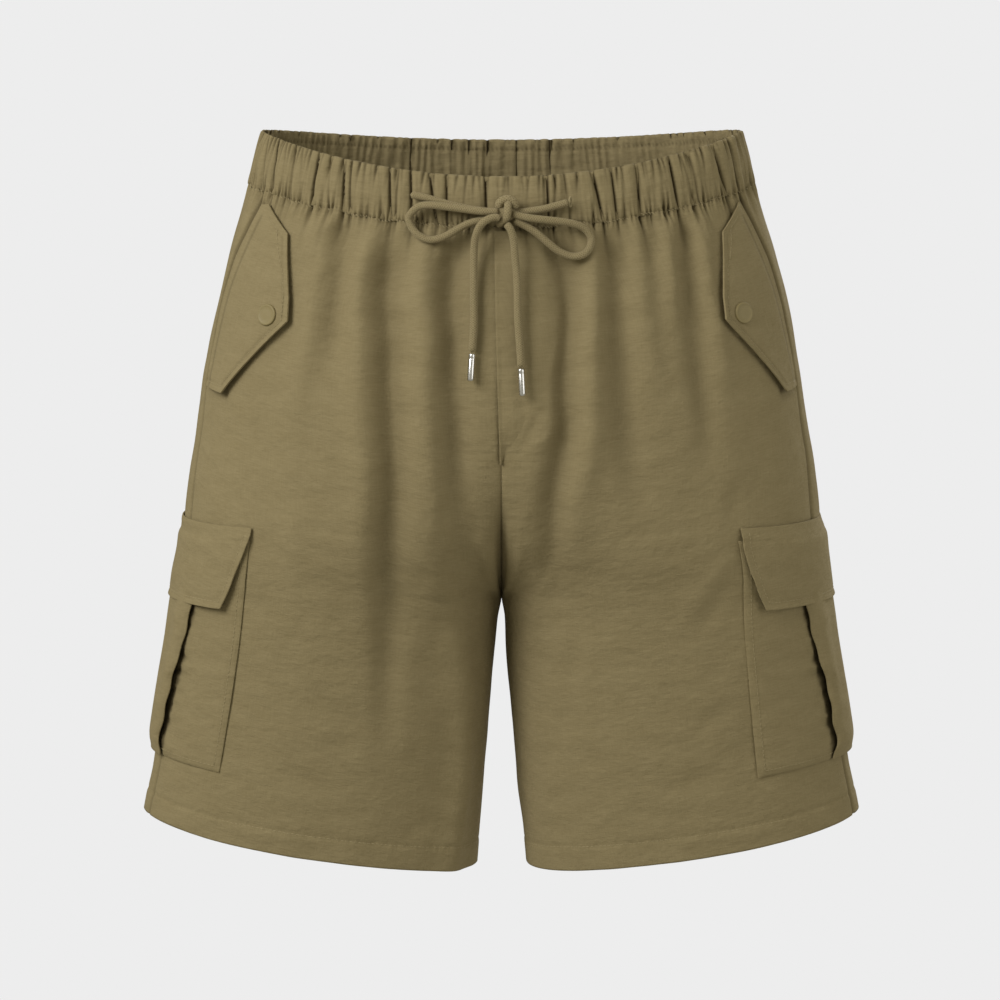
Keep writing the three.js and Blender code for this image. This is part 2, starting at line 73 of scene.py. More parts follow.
sections = table(
    ("drop", "side", "front", "back", "part", "front_dip", "back_dip", "tilt", "gap"),
    [
        [0, 0.1824, 0.096, 0.102, 0, 0.024, 0.010, 0, 0],
        [0.054, 0.2009, 0.106, 0.114, 0.03, 0.022, 0.009, 0.01, 0],
        [0.100, 0.2105, 0.111, 0.121, 0.1, 0.018, 0.008, 0.028, 0],
        [0.138, 0.2166, 0.112, 0.124, 0.2, 0.015, 0.007, 0.043, 0],
        [0.175, 0.221, 0.110, 0.122, 0.34, 0.011, 0.0055, 0.06, 0],
        [0.205, 0.226, 0.106, 0.117, 0.5, 0.008, 0.004, 0.075, 0],
        [0.235, 0.2304, 0.101, 0.110, 0.74, 0.0045, 0.0025, 0.092, 0],
        [0.248, 0.2316, 0.0982, 0.1066, 0.86, 0.0028, 0.0017, 0.099, 0],
        [0.258, 0.2326, 0.096, 0.104, 0.935, 0.0015, 0.001, 0.104, 0],
        [0.266, 0.2334, 0.094, 0.102, 0.982, 0.0005, 0.0004, 0.108, 0],
        [0.272, 0.2341, 0.0926, 0.1005, 1, 0, 0, 0.1106, 0],
        [0.290, 0.2364, 0.089, 0.096, 1, 0, 0, 0.116, 0.003],
        [0.340, 0.2434, 0.083, 0.088, 1, 0, 0, 0.128, 0.0075],
        [0.400, 0.2524, 0.077, 0.081, 1, 0, 0, 0.139, 0.0127],
        [HEM_DROP, 0.2634, 0.072, 0.075, 1, 0, 0, 0.1497, 0.0181],
    ],
)

# The back's largest folds: places across the panel, 0 at its inner edge and 1 at the side seam
folds = [
    (-1, -1, 0.2, 0.16, -0.01, 0.14, 0.015, -0.0026),
    (-1, -1, 0.37, 0.33, -0.01, 0.12, 0.016, -0.0024),
    (-1, -1, 0.56, 0.5, -0.01, 0.11, 0.017, -0.002),
    (-1, -1, 0.3, 0.22, 0.2, 0.445, 0.028, -0.0024),
    (-1, -1, 0.46, 0.42, 0.215, 0.43, 0.026, 0.0018),
    (1, -1, 0.17, 0.15, -0.01, 0.15, 0.014, -0.0028),
    (1, -1, 0.32, 0.29, -0.01, 0.11, 0.016, -0.0022),
    (1, -1, 0.52, 0.47, -0.01, 0.12, 0.017, -0.0022),
    (1, -1, 0.33, 0.24, 0.205, 0.45, 0.027, -0.0022),
    (1, -1, 0.5, 0.44, 0.22, 0.435, 0.026, 0.0018),
]
FOLD_EASE = 0.034
FOLD_EDGE = 0.1
# How strongly shade is painted into the fold troughs, for each metre of their depth
FOLD_SHADE = 19
LONG_GAIN = 1.85
FOLD_GAIN = 0.7

# The front's long folds: for a leg, degrees round from the side seam and drops along each, how
# wide it is and how far it rises or sinks
long_folds = [
    (-1, [(65.1, 0.000), (66.2, 0.026), (70.0, 0.082), (76.7, 0.138), (86.9, 0.195), (104.5, 0.256), (110.7, 0.315), (112.2, 0.372), (112.2, 0.415)], 0.0110, -0.0050),
    (-1, [(59.3, 0.000), (60.1, 0.030), (64.1, 0.084), (69.8, 0.140), (80.2, 0.197), (91.8, 0.242), (98.1, 0.303)], 0.0120, 0.0032),
    (-1, [(72.3, 0.000), (75.3, 0.025), (78.2, 0.079), (84.5, 0.136), (96.4, 0.193), (111.7, 0.238), (124.0, 0.290), (133.0, 0.330)], 0.0120, 0.0032),
    (-1, [(116.0, 0.236), (128.0, 0.264), (137.0, 0.296), (145.0, 0.341), (149.0, 0.398), (150.0, 0.540)], 0.0160, 0.0034),
    (-1, [(78.8, 0.000), (80.3, 0.025), (83.4, 0.078), (90.4, 0.134), (99.0, 0.178), (111.9, 0.215), (138.6, 0.263)], 0.0110, -0.0050),
    (-1, [(52.3, 0.000), (55.8, 0.032), (56.4, 0.059), (57.1, 0.087), (60.2, 0.130)], 0.0110, -0.0026),
    (-1, [(45.6, 0.000), (49.8, 0.036), (50.4, 0.062), (51.3, 0.091), (52.2, 0.119), (53.5, 0.148), (56.7, 0.183)], 0.0120, 0.0024),
    (1, [(75.2, 0.000), (76.5, 0.025), (77.6, 0.051), (80.0, 0.079), (83.3, 0.107), (86.8, 0.135), (93.0, 0.164), (101.3, 0.193), (112.6, 0.223), (134.2, 0.271), (137.4, 0.305)], 0.0110, -0.0050),
    (1, [(69.3, 0.000), (70.7, 0.026), (72.4, 0.053), (74.7, 0.080), (77.9, 0.108), (81.4, 0.136), (86.9, 0.165), (95.2, 0.193), (104.7, 0.223), (121.7, 0.263)], 0.0120, 0.0030),
    (1, [(64.4, 0.000), (66.6, 0.028), (68.2, 0.054), (69.8, 0.082), (71.5, 0.110), (74.1, 0.138), (76.6, 0.168), (79.5, 0.197), (90.4, 0.242)], 0.0110, -0.0040),
    (1, [(57.7, 0.000), (60.3, 0.030), (61.9, 0.057), (63.0, 0.085), (63.5, 0.113), (64.6, 0.142)], 0.0100, 0.0018),
    (1, [(54.1, 0.000), (55.8, 0.014), (57.8, 0.041)], 0.0080, -0.0016),
    (1, [(49.1, 0.000), (52.7, 0.034), (54.4, 0.060), (57.0, 0.091)], 0.0090, 0.0022),
    (1, [(44.9, 0.000), (48.7, 0.036), (49.9, 0.062), (50.9, 0.091), (52.6, 0.119), (53.7, 0.148), (56.5, 0.176), (60.5, 0.205)], 0.0100, -0.0032),
    (1, [(39.7, 0.000), (43.6, 0.038), (44.6, 0.065), (44.4, 0.094), (45.0, 0.123), (46.0, 0.152)], 0.0100, 0.0020),
]

# Gathers of the front: place across at the rim and at the seam, how deep they press in there,
# and how far they run on below the seam
front_gathers = [
    (-0.1661, -0.1709, 0.6, 0.6, 0.010),
    (-0.1590, -0.1637, 1.0, 1.0, 0.016),
    (-0.1522, -0.1554, 0.5, 0.3, 0.008),
    (-0.1461, -0.1501, 0.8, 0.4, 0.012),
    (-0.1404, -0.1423, 0.4, 0.2, 0.008),
    (-0.1289, -0.1352, 1.0, 0.7, 0.018),
    (-0.1205, -0.1219, 0.5, 0.6, 0.042),
    (-0.1106, -0.1121, 1.0, 1.0, 0.020),
    (-0.1055, -0.1074, 0.7, 0.7, 0.012),
    (-0.0957, -0.0979, 0.5, 0.4, 0.014),
    (-0.0867, -0.0825, 0.2, 0.4, 0.010),
    (-0.0787, -0.0780, 1.0, 0.8, 0.045),
    (-0.0722, -0.0749, 0.5, 0.8, 0.012),
    (-0.0640, -0.0626, 1.0, 1.0, 0.018),
    (-0.0507, -0.0452, 1.0, 0.9, 0.034),
    (-0.0386, -0.0382, 0.8, 0.8, 0.014),
    (-0.0246, -0.0277, 0.6, 0.5, 0.012),
    (-0.0116, -0.0101, 1.0, 0.7, 0.016),
    (-0.0021, -0.0031, 0.2, 0.4, 0.010),
    (0.0073, 0.0066, 0.2, 0.4, 0.010),
    (0.0190, 0.0164, 0.5, 0.5, 0.014),
    (0.0297, 0.0305, 0.7, 0.4, 0.012),
    (0.0318, 0.0333, 1.0, 0.8, 0.016),
    (0.0379, 0.0368, 0.6, 0.6, 0.036),
    (0.0438, 0.0487, 0.7, 0.5, 0.014),
    (0.0536, 0.0564, 0.3, 0.4, 0.012),
    (0.0637, 0.0718, 1.0, 1.0, 0.050),
    (0.0768, 0.0814, 0.7, 0.9, 0.014),
    (0.0846, 0.0868, 0.3, 0.4, 0.010),
    (0.0948, 0.0978, 1.0, 1.0, 0.044),
    (0.1012, 0.1057, 0.4, 0.5, 0.012),
    (0.1102, 0.1143, 0.2, 0.4, 0.010),
    (0.1180, 0.1249, 1.0, 1.0, 0.048),
    (0.1260, 0.1366, 0.4, 0.6, 0.016),
    (0.1321, 0.1401, 0.7, 0.5, 0.012),
    (0.1491, 0.1611, 1.0, 1.0, 0.018),
    (0.1614, 0.1703, 1.0, 0.9, 0.014),
    (0.1676, 0.1762, 0.4, 0.5, 0.010),
]
# Gathers of the back: place across, depth, and run below the seam
back_gathers = [
    (-0.1673, 0.5, 0.010),
    (-0.1601, 0.7, 0.014),
    (-0.1532, 0.5, 0.010),
    (-0.1491, 0.4, 0.010),
    (-0.1385, 0.7, 0.030),
    (-0.1285, 0.5, 0.012),
    (-0.1126, 0.7, 0.016),
    (-0.1010, 0.5, 0.036),
    (-0.0922, 0.5, 0.012),
    (-0.0775, 0.6, 0.014),
    (-0.0674, 1.0, 0.044),
    (-0.0610, 0.4, 0.012),
    (-0.0482, 0.6, 0.014),
    (-0.0372, 1.0, 0.020),
    (-0.0246, 1.0, 0.038),
    (-0.0106, 1.0, 0.014),
    (0.0031, 0.5, 0.012),
    (0.0110, 1.0, 0.034),
    (0.0167, 0.4, 0.010),
    (0.0279, 0.6, 0.014),
    (0.0357, 1.0, 0.040),
    (0.0457, 0.5, 0.012),
    (0.0561, 0.6, 0.014),
    (0.0657, 0.5, 0.010),
    (0.0783, 0.8, 0.042),
    (0.0871, 0.4, 0.010),
    (0.0915, 0.5, 0.012),
    (0.1039, 0.8, 0.016),
    (0.1097, 0.4, 0.010),
    (0.1191, 0.6, 0.034),
    (0.1249, 0.4, 0.010),
    (0.1349, 0.8, 0.016),
    (0.1434, 0.5, 0.012),
    (0.1498, 0.4, 0.010),
    (0.1560, 0.6, 0.014),
    (0.1621, 0.5, 0.010),
]
# Gathers at the two sides: degrees forward of the side seam, depth, and run
side_gathers = [(9.5, 0.7, 0.012), (4.5, 0.5, 0.010), (-1.5, 0.9, 0.016), (-7, 0.5, 0.010), (-12, 0.7, 0.014)]
GATHER_DEPTH = 0.0042
GATHER_PRESS = 0.0007
GATHER_SPREAD = 0.0029
SEAM_PITCH = 0.0034
PUCKER_DEPTH = 0.0012
PUCKER_PITCH = 0.0061
RUN_GAIN = 1.7

# Where each side is drawn in below the waist: drop, spread and depth; and how full it is lower down
SIDE_DRAW = {1: (0.052, 0.030, 0.0014), -1: (0.066, 0.046, 0.0029)}
SIDE_FULL = {1: 0.0026, -1: 0.0002}

# Smaller creases of the cloth: for a leg, degrees round from the side seam, positive to the
# front, and drops along each, how wide it is and how far it rises or sinks
creases = [
    (1, [(80, 0.022), (86, 0.107), (101, 0.185)], 0.0045, 0.0019),
    (1, [(89.4, 0.122), (97, 0.146), (104, 0.158)], 0.0042, -0.0016),
    (1, [(86, 0.128), (94, 0.151), (101, 0.162)], 0.0040, 0.0011),
    (1, [(90.7, 0.138), (103.2, 0.1586)], 0.0022, -0.0007),
    (1, [(84, 0.122), (92, 0.180), (98, 0.212)], 0.0070, -0.0022),
    (1, [(58.2, 0.2415), (92.7, 0.3106)], 0.0075, 0.0010),
    (1, [(65.1, 0.2678), (84, 0.309)], 0.0060, -0.0012),
    (1, [(67.7, 0.343), (89.9, 0.358)], 0.0060, 0.0008),
    (1, [(68.4, 0.3538), (87.4, 0.3734)], 0.0050, -0.0009),
    (1, [(111, 0.199), (134, 0.260), (158, 0.322)], 0.0080, 0.0014),
    (1, [(102, 0.212), (124, 0.300), (142, 0.400)], 0.0090, -0.0013),
    (1, [(120, 0.215), (150, 0.262)], 0.0050, -0.0010),
    (1, [(118, 0.240), (140, 0.276)], 0.0050, 0.0008),
    (1, [(50, 0.190), (63, 0.236)], 0.0080, -0.0011),
    (1, [(74, 0.395), (104, 0.418)], 0.0070, -0.0008),
    (-1, [(111.2, 0.192), (127.8, 0.250)], 0.0060, -0.0013),
    (-1, [(106, 0.200), (121, 0.262)], 0.0070, 0.0013),
    (-1, [(136.5, 0.427), (121.9, 0.438)], 0.0060, -0.0010),
    (-1, [(118, 0.222), (150, 0.268)], 0.0048, -0.0010),
    (-1, [(92, 0.176), (106, 0.226)], 0.0060, -0.0009),
    (-1, [(60, 0.206), (76, 0.262)], 0.0085, 0.0010),
    (-1, [(55, 0.222), (72, 0.282)], 0.0075, -0.0010),
    (-1, [(84, 0.330), (104, 0.352)], 0.0070, 0.0008),
    (-1, [(82, 0.342), (102, 0.366)], 0.0060, -0.0009),
    (-1, [(70, 0.396), (96, 0.412)], 0.0070, -0.0008),
    (-1, [(112, 0.330), (140, 0.372)], 0.0080, 0.0009),
    (-1, [(-72, 0.150), (-96, 0.215), (-118, 0.252)], 0.0085, -0.0018),
    (-1, [(-66, 0.160), (-88, 0.226), (-110, 0.262)], 0.0080, 0.0013),
    (-1, [(-112, 0.205), (-146, 0.262)], 0.0055, -0.0013),
    (-1, [(-62, 0.318), (-92, 0.342)], 0.0075, -0.0010),
    (-1, [(-70, 0.386), (-100, 0.404)], 0.0080, 0.0009),
    (1, [(-74, 0.146), (-98, 0.208), (-122, 0.250)], 0.0080, -0.0017),
    (1, [(-68, 0.158), (-90, 0.220), (-112, 0.260)], 0.0085, 0.0012),
    (1, [(-116, 0.210), (-150, 0.266)], 0.0050, -0.0012),
    (1, [(-60, 0.300), (-88, 0.330)], 0.0080, -0.0010),
    (1, [(-76, 0.392), (-108, 0.410)], 0.0070, 0.0008),
    (1, [(-50, 0.204), (-66, 0.250)], 0.0080, -0.0010),
]
# Sewn lines of the sides: the hand pocket's mouth beside its flap, and the side seam below
side_lines = [
    (1, [(21.0, 0.004), (18.6, 0.022), (15.4, 0.050), (12.6, 0.092), (11.8, 0.139)], 0.0026, -0.0024),
    (1, [(11.8, 0.139), (12.6, 0.189), (16.4, 0.222), (18, 0.245)], 0.0026, -0.0014),
    (1, [(17, 0.408), (16.8, 0.424), (16.5, 0.4633)], 0.0026, -0.0014),
    (-1, [(21.0, 0.004), (18.6, 0.022), (15.4, 0.050), (12.6, 0.092), (11.8, 0.139)], 0.0026, -0.0020),
    (-1, [(11.8, 0.139), (12.4, 0.182), (15.6, 0.222), (17.3, 0.245)], 0.0026, -0.0009),
    (-1, [(17, 0.408), (16.8, 0.424), (16.5, 0.4633)], 0.0026, -0.0009),
]

# Waistband, round its closed profile: height from the seam to the rim, distance out, and how
# far the gathers reach, the other way inside
band_profile = table(
    ("round", "height", "out", "gather"),
    [
        [0, 0, -0.0010, 0.6],
        [0.03, 0.03, 0.0002, 0.9],
        [0.09, 0.16, 0.0014, 1],
        [0.25, 0.5, 0.0019, 1],
        [0.40, 0.84, 0.0015, 1],
        [0.46, 0.96, 0.0008, 0.9],
        [0.49, 1, 0.0002, 0.7],
        [0.51, 1, -0.0010, 0.4],
        [0.54, 0.96, -0.0022, -0.2],
        [0.60, 0.84, -0.0027, -0.18],
        [0.75, 0.5, -0.0029, -0.20],
        [0.91, 0.16, -0.0026, -0.18],
        [0.97, 0.03, -0.0022, -0.2],
        [0.985, 0, -0.0018, 0],
        [1, 0, -0.0010, 0.6],
    ],
)
BAND_COLUMNS = 1500
BAND_ROWS = 42
BAND_INNER_LINE = 0.785

PANEL_COLUMNS = 216
PANEL_WALL = 0.0013

hip_flap = table(
    ("outer_turn", "outer_drop", "front_turn", "front_drop"),
    [
        [23.4, 0.008, 25.8, 0.006],
        [22.2, 0.018, 36.5, 0.0218],
        [19.4, 0.049, 39.9, 0.0477],
        [17.4, 0.068, 41.9, 0.0645],
        [16.2, 0.092, 43.2, 0.0804],
        [15.3, 0.118, 34.5, 0.111],
        [14.9, 0.141, 25.5, 0.1414],
    ],
)
HIP_FLAP_WALL = 0.0013
HIP_FLAP_LIFT = 0.0013
hip_flap_shift = {"left": -1, "right": 1.6}
# Grooves in the panels along each hip flap's sewn edge and foot
flap_outlines = [
    (
        LEGS[side],
        [*zip(hip_flap["outer_turn"], hip_flap["outer_drop"]), (hip_flap["front_turn"][-1] + shift, 0.1414)],
        0.0034,
        -0.0015,
    )
    for side, shift in hip_flap_shift.items()
]
hip_snap = {"left": 36.2, "right": 38.8, "drop": 0.0794, "radius": 0.00775}

cargo = {"top_drop": 0.239, "corner_rise": 0.0092, "corner_turn": 54, "bottom_drop": 0.4125, "height": 0.184}
gusset_rows = table(
    ("down", "left", "right"),
    [
        [0.01, 58.9, 53.5],
        [0.04, 61.6, 56],
        [0.08, 63.8, 56.6],
        [0.118, 64.4, 56.2],
        [0.152, 64.9, 55.5],
        [0.184, 65.3, 54.8],
    ],
)
face_rows = table(
    ("down", "left", "right", "out"),
    [
        [0.018, 36.5, 33, 0.0039],
        [0.04, 35.8, 32.4, 0.0046],
        [0.075, 33.6, 30.2, 0.0049],
        [0.11, 30.8, 27, 0.005],
        [0.145, 28.2, 23.6, 0.005],
        [0.172, 27.4, 21, 0.0049],
        [0.184, 28.6, 20.4, 0.0042],
    ],
)
flap_rows = table(
    ("down", "left", "right", "middle", "edge"),
    [
        [0, 56.3, 52.5, 0.0007, 0.0007],
        [0.005, 57, 53.2, 0.0017, 0.0016],
        [0.01, 57.7, 53.6, 0.0032, 0.0025],
        [0.017, 58.8, 53.6, 0.0049, 0.0028],
        [0.032, 59.2, 52.9, 0.0056, 0.003],
        [0.048, 58, 51.3, 0.0057, 0.0032],
        [0.063, 55.8, 48.7, 0.0057, 0.0034],
    ],
)
LAYER_GAP = 0.0007
GUSSET_WALL = 0.0010
FACE_WALL = 0.0012
FLAP_WALL = 0.0012

fly = {"start": -0.005, "end": 0.037, "top": 0.002, "foot": 0.165, "wall": 0.001, "lift": 0.0007, "curve": 0.040}

# Drawstring: the routes of the part's source, points on each centre line
CORD_RADIUS = 0.00265
TIP_RADIUS = 0.0023
TIP_LENGTH = 0.019
cord_routes = {
    "cord_lead_right": [
        (-0.0640, -0.0934, -0.0202),
        (-0.0506, -0.0960, -0.0232),
        (-0.0370, -0.0976, -0.0270),
        (-0.0233, -0.0989, -0.0300),
        (-0.0106, -0.0996, -0.0318),
        (-0.0024, -0.0998, -0.0328),
    ],
    "cord_lead_left": [
        (0.0469, -0.0968, -0.0256),
        (0.0382, -0.0980, -0.0280),
        (0.0284, -0.0989, -0.0304),
        (0.0186, -0.0996, -0.0318),
        (0.0108, -0.0999, -0.0326),
        (0.0024, -0.1002, -0.0332),
    ],
    "cord_loop_right": [
        (-0.0018, -0.1062, -0.0316),
        (-0.0116, -0.1066, -0.0316),
        (-0.0254, -0.1050, -0.0300),
        (-0.0351, -0.1036, -0.0288),
        (-0.0487, -0.1012, -0.0274),
        (-0.0564, -0.0990, -0.0280),
        (-0.0616, -0.0970, -0.0314),
        (-0.0648, -0.0954, -0.0366),
        (-0.0629, -0.0960, -0.0431),
        (-0.0575, -0.0982, -0.0490),
        (-0.0498, -0.0998, -0.0516),
        (-0.0409, -0.1010, -0.0496),
        (-0.0322, -0.1018, -0.0450),
        (-0.0243, -0.1028, -0.0406),
        (-0.0165, -0.1038, -0.0382),
        (-0.0070, -0.1044, -0.0370),
    ],
    "cord_loop_left": [
        (0.0064, -0.1050, -0.0332),
        (0.0186, -0.1060, -0.0358),
        (0.0310, -0.1050, -0.0374),
        (0.0431, -0.1024, -0.0390),
        (0.0518, -0.0998, -0.0410),
        (0.0587, -0.0974, -0.0447),
        (0.0626, -0.0970, -0.0505),
        (0.0616, -0.0986, -0.0574),
        (0.0568, -0.1000, -0.0622),
        (0.0490, -0.0998, -0.0632),
        (0.0412, -0.1004, -0.0603),
        (0.0333, -0.1018, -0.0544),
        (0.0255, -0.1024, -0.0476),
        (0.0177, -0.1034, -0.0422),
        (0.0080, -0.1044, -0.0374),
    ],
    "cord_end_right": [
        (-0.0012, -0.1107, -0.0358),
        (-0.0048, -0.1120, -0.0352),
        (-0.0096, -0.1128, -0.0364),
        (-0.0146, -0.1118, -0.0406),
        (-0.0178, -0.1094, -0.0476),
        (-0.0190, -0.1074, -0.0560),
        (-0.0194, -0.1072, -0.0671),
        (-0.0195, -0.1090, -0.0868),
        (-0.0194, -0.1116, -0.1101),
        (-0.0206, -0.1136, -0.1300),
    ],
    "cord_end_left": [
        (0.0030, -0.1090, -0.0394),
        (0.0064, -0.1100, -0.0442),
        (0.0084, -0.1096, -0.0516),
        (0.0094, -0.1096, -0.0622),
        (0.0104, -0.1098, -0.0720),
        (0.0110, -0.1116, -0.0868),
        (0.0114, -0.1137, -0.1057),
        (0.0129, -0.1156, -0.1264),
        (0.0136, -0.1164, -0.1402),
    ],
}
knot_routes = {
    "wrap": [
        (0.0042, -0.1015, -0.0258),
        (0.0044, -0.1076, -0.0276),
        (0.0042, -0.1096, -0.0314),
        (0.0034, -0.1094, -0.0350),
        (0.0004, -0.1078, -0.0384),
        (-0.0030, -0.1046, -0.0408),
    ],
    "arch": [
        (-0.0016, -0.1020, -0.0300),
        (-0.0009, -0.1030, -0.0256),
        (0.0037, -0.1034, -0.0233),
        (0.0083, -0.1030, -0.0256),
        (0.0090, -0.1020, -0.0300),
    ],
}
knot_radii = {"wrap": 0.00265, "arch": 0.0032}
knot_core = {"at": (0.0028, -0.1032, -0.0334), "radii": (0.0076, 0.0042, 0.0050)}


def make_camera():
    """The camera at the photograph's distance and angle."""
    data = bpy.data.cameras.new("photo_camera")
    data.lens = CAMERA_LENS
    camera = bpy.data.objects.new("photo_camera", data)
    bpy.context.scene.collection.objects.link(camera)
    back = Vector((0, -math.cos(CAMERA_DROP), math.sin(CAMERA_DROP)))
    camera.location = CAMERA_TARGET + back * CAMERA_DISTANCE
    camera.rotation_euler = (math.pi / 2 - CAMERA_DROP, 0, 0)
    bpy.context.scene.camera = camera


class Signal:
    """A shader socket that Python arithmetic works on."""

    def __init__(self, finish, socket):
        self.finish = finish
        self.socket = socket

    def math(self, operation, *values):
        inputs = dict(enumerate(values))
        return self.finish.node("ShaderNodeMath", {"operation": operation}, inputs)

    def __add__(self, other):
        return self.math("ADD", self, other)

    def __sub__(self, other):
        return self.math("SUBTRACT", self, other)

    def __mul__(self, other):
        return self.math("MULTIPLY", self, other)

    def __rsub__(self, other):
        return self.math("SUBTRACT", other, self)

    def __pow__(self, other):
        return self.math("POWER", self, other)

    __radd__ = __add__
    __rmul__ = __mul__

    def sine(self):
        return self.math("SINE", self)

    def clamped(self):
        return self.math("MINIMUM", self.math("MAXIMUM", self, 0.0), 1.0)


class Finish:
    """A material and the nodes that it is made of."""

    def __init__(self, name):
        self.material = bpy.data.materials.new(name)
        self.material.use_nodes = True
        self.tree = self.material.node_tree
        self.shader = self.tree.nodes["Principled BSDF"]

    def feed(self, socket, value):
        if isinstance(value, Signal):
            self.tree.links.new(value.socket, socket)
        else:
            socket.default_value = value

    def node(self, kind, settings=None, inputs=None, output=0):
        """Adds a node, sets it up, feeds its inputs, and returns one output."""
        node = self.tree.nodes.new(kind)
        for key, value in (settings or {}).items():
            setattr(node, key, value)
        for key, value in (inputs or {}).items():
            self.feed(node.inputs[key], value)
        return Signal(self, node.outputs[output])

    def surface(self, **values):
        for key, value in values.items():
            self.feed(self.shader.inputs[key.replace("_", " ")], value)

    def uv(self, across, along):
        """The piece's own UV map, in metres, with each way scaled."""
        place = self.node("ShaderNodeUVMap", {"uv_map": "UVMap"})
        inputs = {"Vector": place, "Scale": (across, along, 1)}
        return self.node("ShaderNodeMapping", inputs=inputs)

    def parts(self, vector):
        node = self.tree.nodes.new("ShaderNodeSeparateXYZ")
        self.feed(node.inputs[0], vector)
        return Signal(self, node.outputs[0]), Signal(self, node.outputs[1])

    def noise(self, vector, detail=2.0, roughness=0.5, scale=1.0):
        """Soft noise, from about 0 to 1."""
        inputs = {"Vector": vector, "Scale": scale, "Detail": detail, "Roughness": roughness}
        return self.node("ShaderNodeTexNoise", {"noise_dimensions": "2D"}, inputs)

    def object_noise(self, scale, detail=2.0):
        inputs = {"Scale": scale, "Detail": detail}
        node = self.tree.nodes.new("ShaderNodeTexCoord")
        inputs["Vector"] = Signal(self, node.outputs["Object"])
        return self.node("ShaderNodeTexNoise", inputs=inputs)

    def attribute(self, name):
        return self.node("ShaderNodeAttribute", {"attribute_name": name}, output=2)

    def tint(self, factor, low, high):
        """A colour between two, by a factor from 0 to 1."""
        node = self.tree.nodes.new("ShaderNodeMix")
        node.data_type = "RGBA"
        self.feed(node.inputs[0], factor)
        self.feed(node.inputs[6], low)
        self.feed(node.inputs[7], high)
        return Signal(self, node.outputs[2])

    def bump(self, height, distance, strength=1.0, over=None):
        inputs = {"Height": height, "Distance": distance, "Strength": strength}
        if over is not None:
            inputs["Normal"] = over
        return self.node("ShaderNodeBump", inputs=inputs)


def colour(red, green, blue):
    """A colour given as 0 to 255 on screen, in the linear values that shaders take."""
    def linear(value):
        share = value / 255
        return share / 12.92 if share <= 0.04045 else ((share + 0.055) / 1.055) ** 2.4
    return (linear(red), linear(green), linear(blue), 1)


def cloth_finish(name, light, dark, painted_shade_colour):
    """Matt crinkled plain weave with fine slubs; shade is painted into its colour, which darkens in the hollows of
    the gathers, folds and grooves.
    """
    cloth = Finish(name)
    slubs = cloth.noise(cloth.uv(90, 1150), detail=3.0, roughness=0.6)
    ribs = cloth.noise(cloth.uv(1100, 70), detail=2.0)
    mottle = cloth.noise(cloth.uv(30, 90), detail=3.0)
    shade = (slubs * 0.9 + ribs * 0.5 + mottle * 0.5 - 0.45).clamped()
    # Painted shade: the colour is mixed toward the shade colour by the piece's painted shade attribute
    painted_shade = cloth.attribute("painted_shade").clamped()
    base = cloth.tint(shade, dark, light)
    across, along = cloth.parts(cloth.uv(2 * math.pi / 0.00062, 2 * math.pi / 0.00056))
    weave = across.sine() * along.sine()
    crinkle = cloth.noise(cloth.uv(140, 230), detail=4.0, roughness=0.6)
    crumple = cloth.noise(cloth.uv(28, 55), detail=2.0)
    fine = cloth.bump(weave * 0.25 + slubs * 0.8 + ribs * 0.4, 0.00016)
    middle = cloth.bump(crinkle, 0.00062, over=fine)
    coarse = cloth.bump(crumple, 0.0017, over=middle)
    cloth.surface(
        Base_Color=cloth.tint(painted_shade, base, painted_shade_colour),
        Roughness=0.93 - slubs * 0.1,
        Normal=coarse,
        Sheen_Weight=0.12,
        Sheen_Roughness=0.5,
        Sheen_Tint=colour(190, 176, 140),
        Specular_IOR_Level=0.18,
    )
    return cloth.material


def cord_finish():
    """Round cotton braid: two sets of slanting ribs that cross."""
    braid = Finish("braided_cord")
    along, around = braid.parts(braid.uv(2 * math.pi / 0.0017, 2 * math.pi))
    one = (along + around * 7.0).sine()
    other = (along - around * 7.0).sine()
    ribs = braid.node("ShaderNodeMath", {"operation": "MAXIMUM"}, {0: one, 1: other})
    fuzz = braid.noise(braid.uv(1400, 9), detail=3.0)
    shade = (ribs * 0.34 + fuzz * 0.8 + 0.02).clamped()
    braid.surface(
        Base_Color=braid.tint(shade, colour(104, 91, 60), colour(150, 137, 104)),
        Roughness=0.95 - fuzz * 0.1,
        Normal=braid.bump(ribs * 0.6 + fuzz * 0.6, 0.00028),
        Sheen_Weight=0.3,
        Sheen_Roughness=0.5,
        Sheen_Tint=colour(200, 188, 155),
        Specular_IOR_Level=0.15,
    )
    return braid.material


def thread_finish():
    """Sewing thread, a little lighter than the cloth."""
    thread = Finish("sewing_thread")
    twist = thread.object_noise(2600.0)
    thread.surface(
        Base_Color=thread.tint(twist, colour(124, 111, 78), colour(160, 147, 112)),
        Roughness=0.8 - twist * 0.15,
        Specular_IOR_Level=0.25,
    )
    return thread.material


def metal_finish():
    """Polished tip with faint marks along it."""
    metal = Finish("cord_tip_metal")
    marks = metal.object_noise(900.0, detail=3.0)
    metal.surface(
        Base_Color=metal.tint(marks, colour(196, 194, 190), colour(216, 214, 210)),
        Roughness=0.24 + marks * 0.08,
        Metallic=1.0,
    )
    return metal.material


def snap_finish():
    """Covered snap: painted cap in the cloth's colour."""
    cap = Finish("snap_cap")
    specks = cap.object_noise(1500.0, detail=3.0)
    cap.surface(
        Base_Color=cap.tint(specks, colour(118, 105, 68), colour(132, 119, 81)),
        Roughness=0.62 - specks * 0.15,
        Normal=cap.bump(specks, 0.00008),
        Specular_IOR_Level=0.3,
    )
    return cap.material


def make_finishes():
    # The cloth's light and dark weave tones, and the colour that painted shade darkens it toward
    cloth = (colour(138, 125, 92), colour(122, 109, 77), colour(46, 36, 15))
    return {
        "cloth": cloth_finish("khaki_cloth", *cloth),
        "cord": cord_finish(),
        "thread": thread_finish(),
        "metal": metal_finish(),
        "snap": snap_finish(),
    }


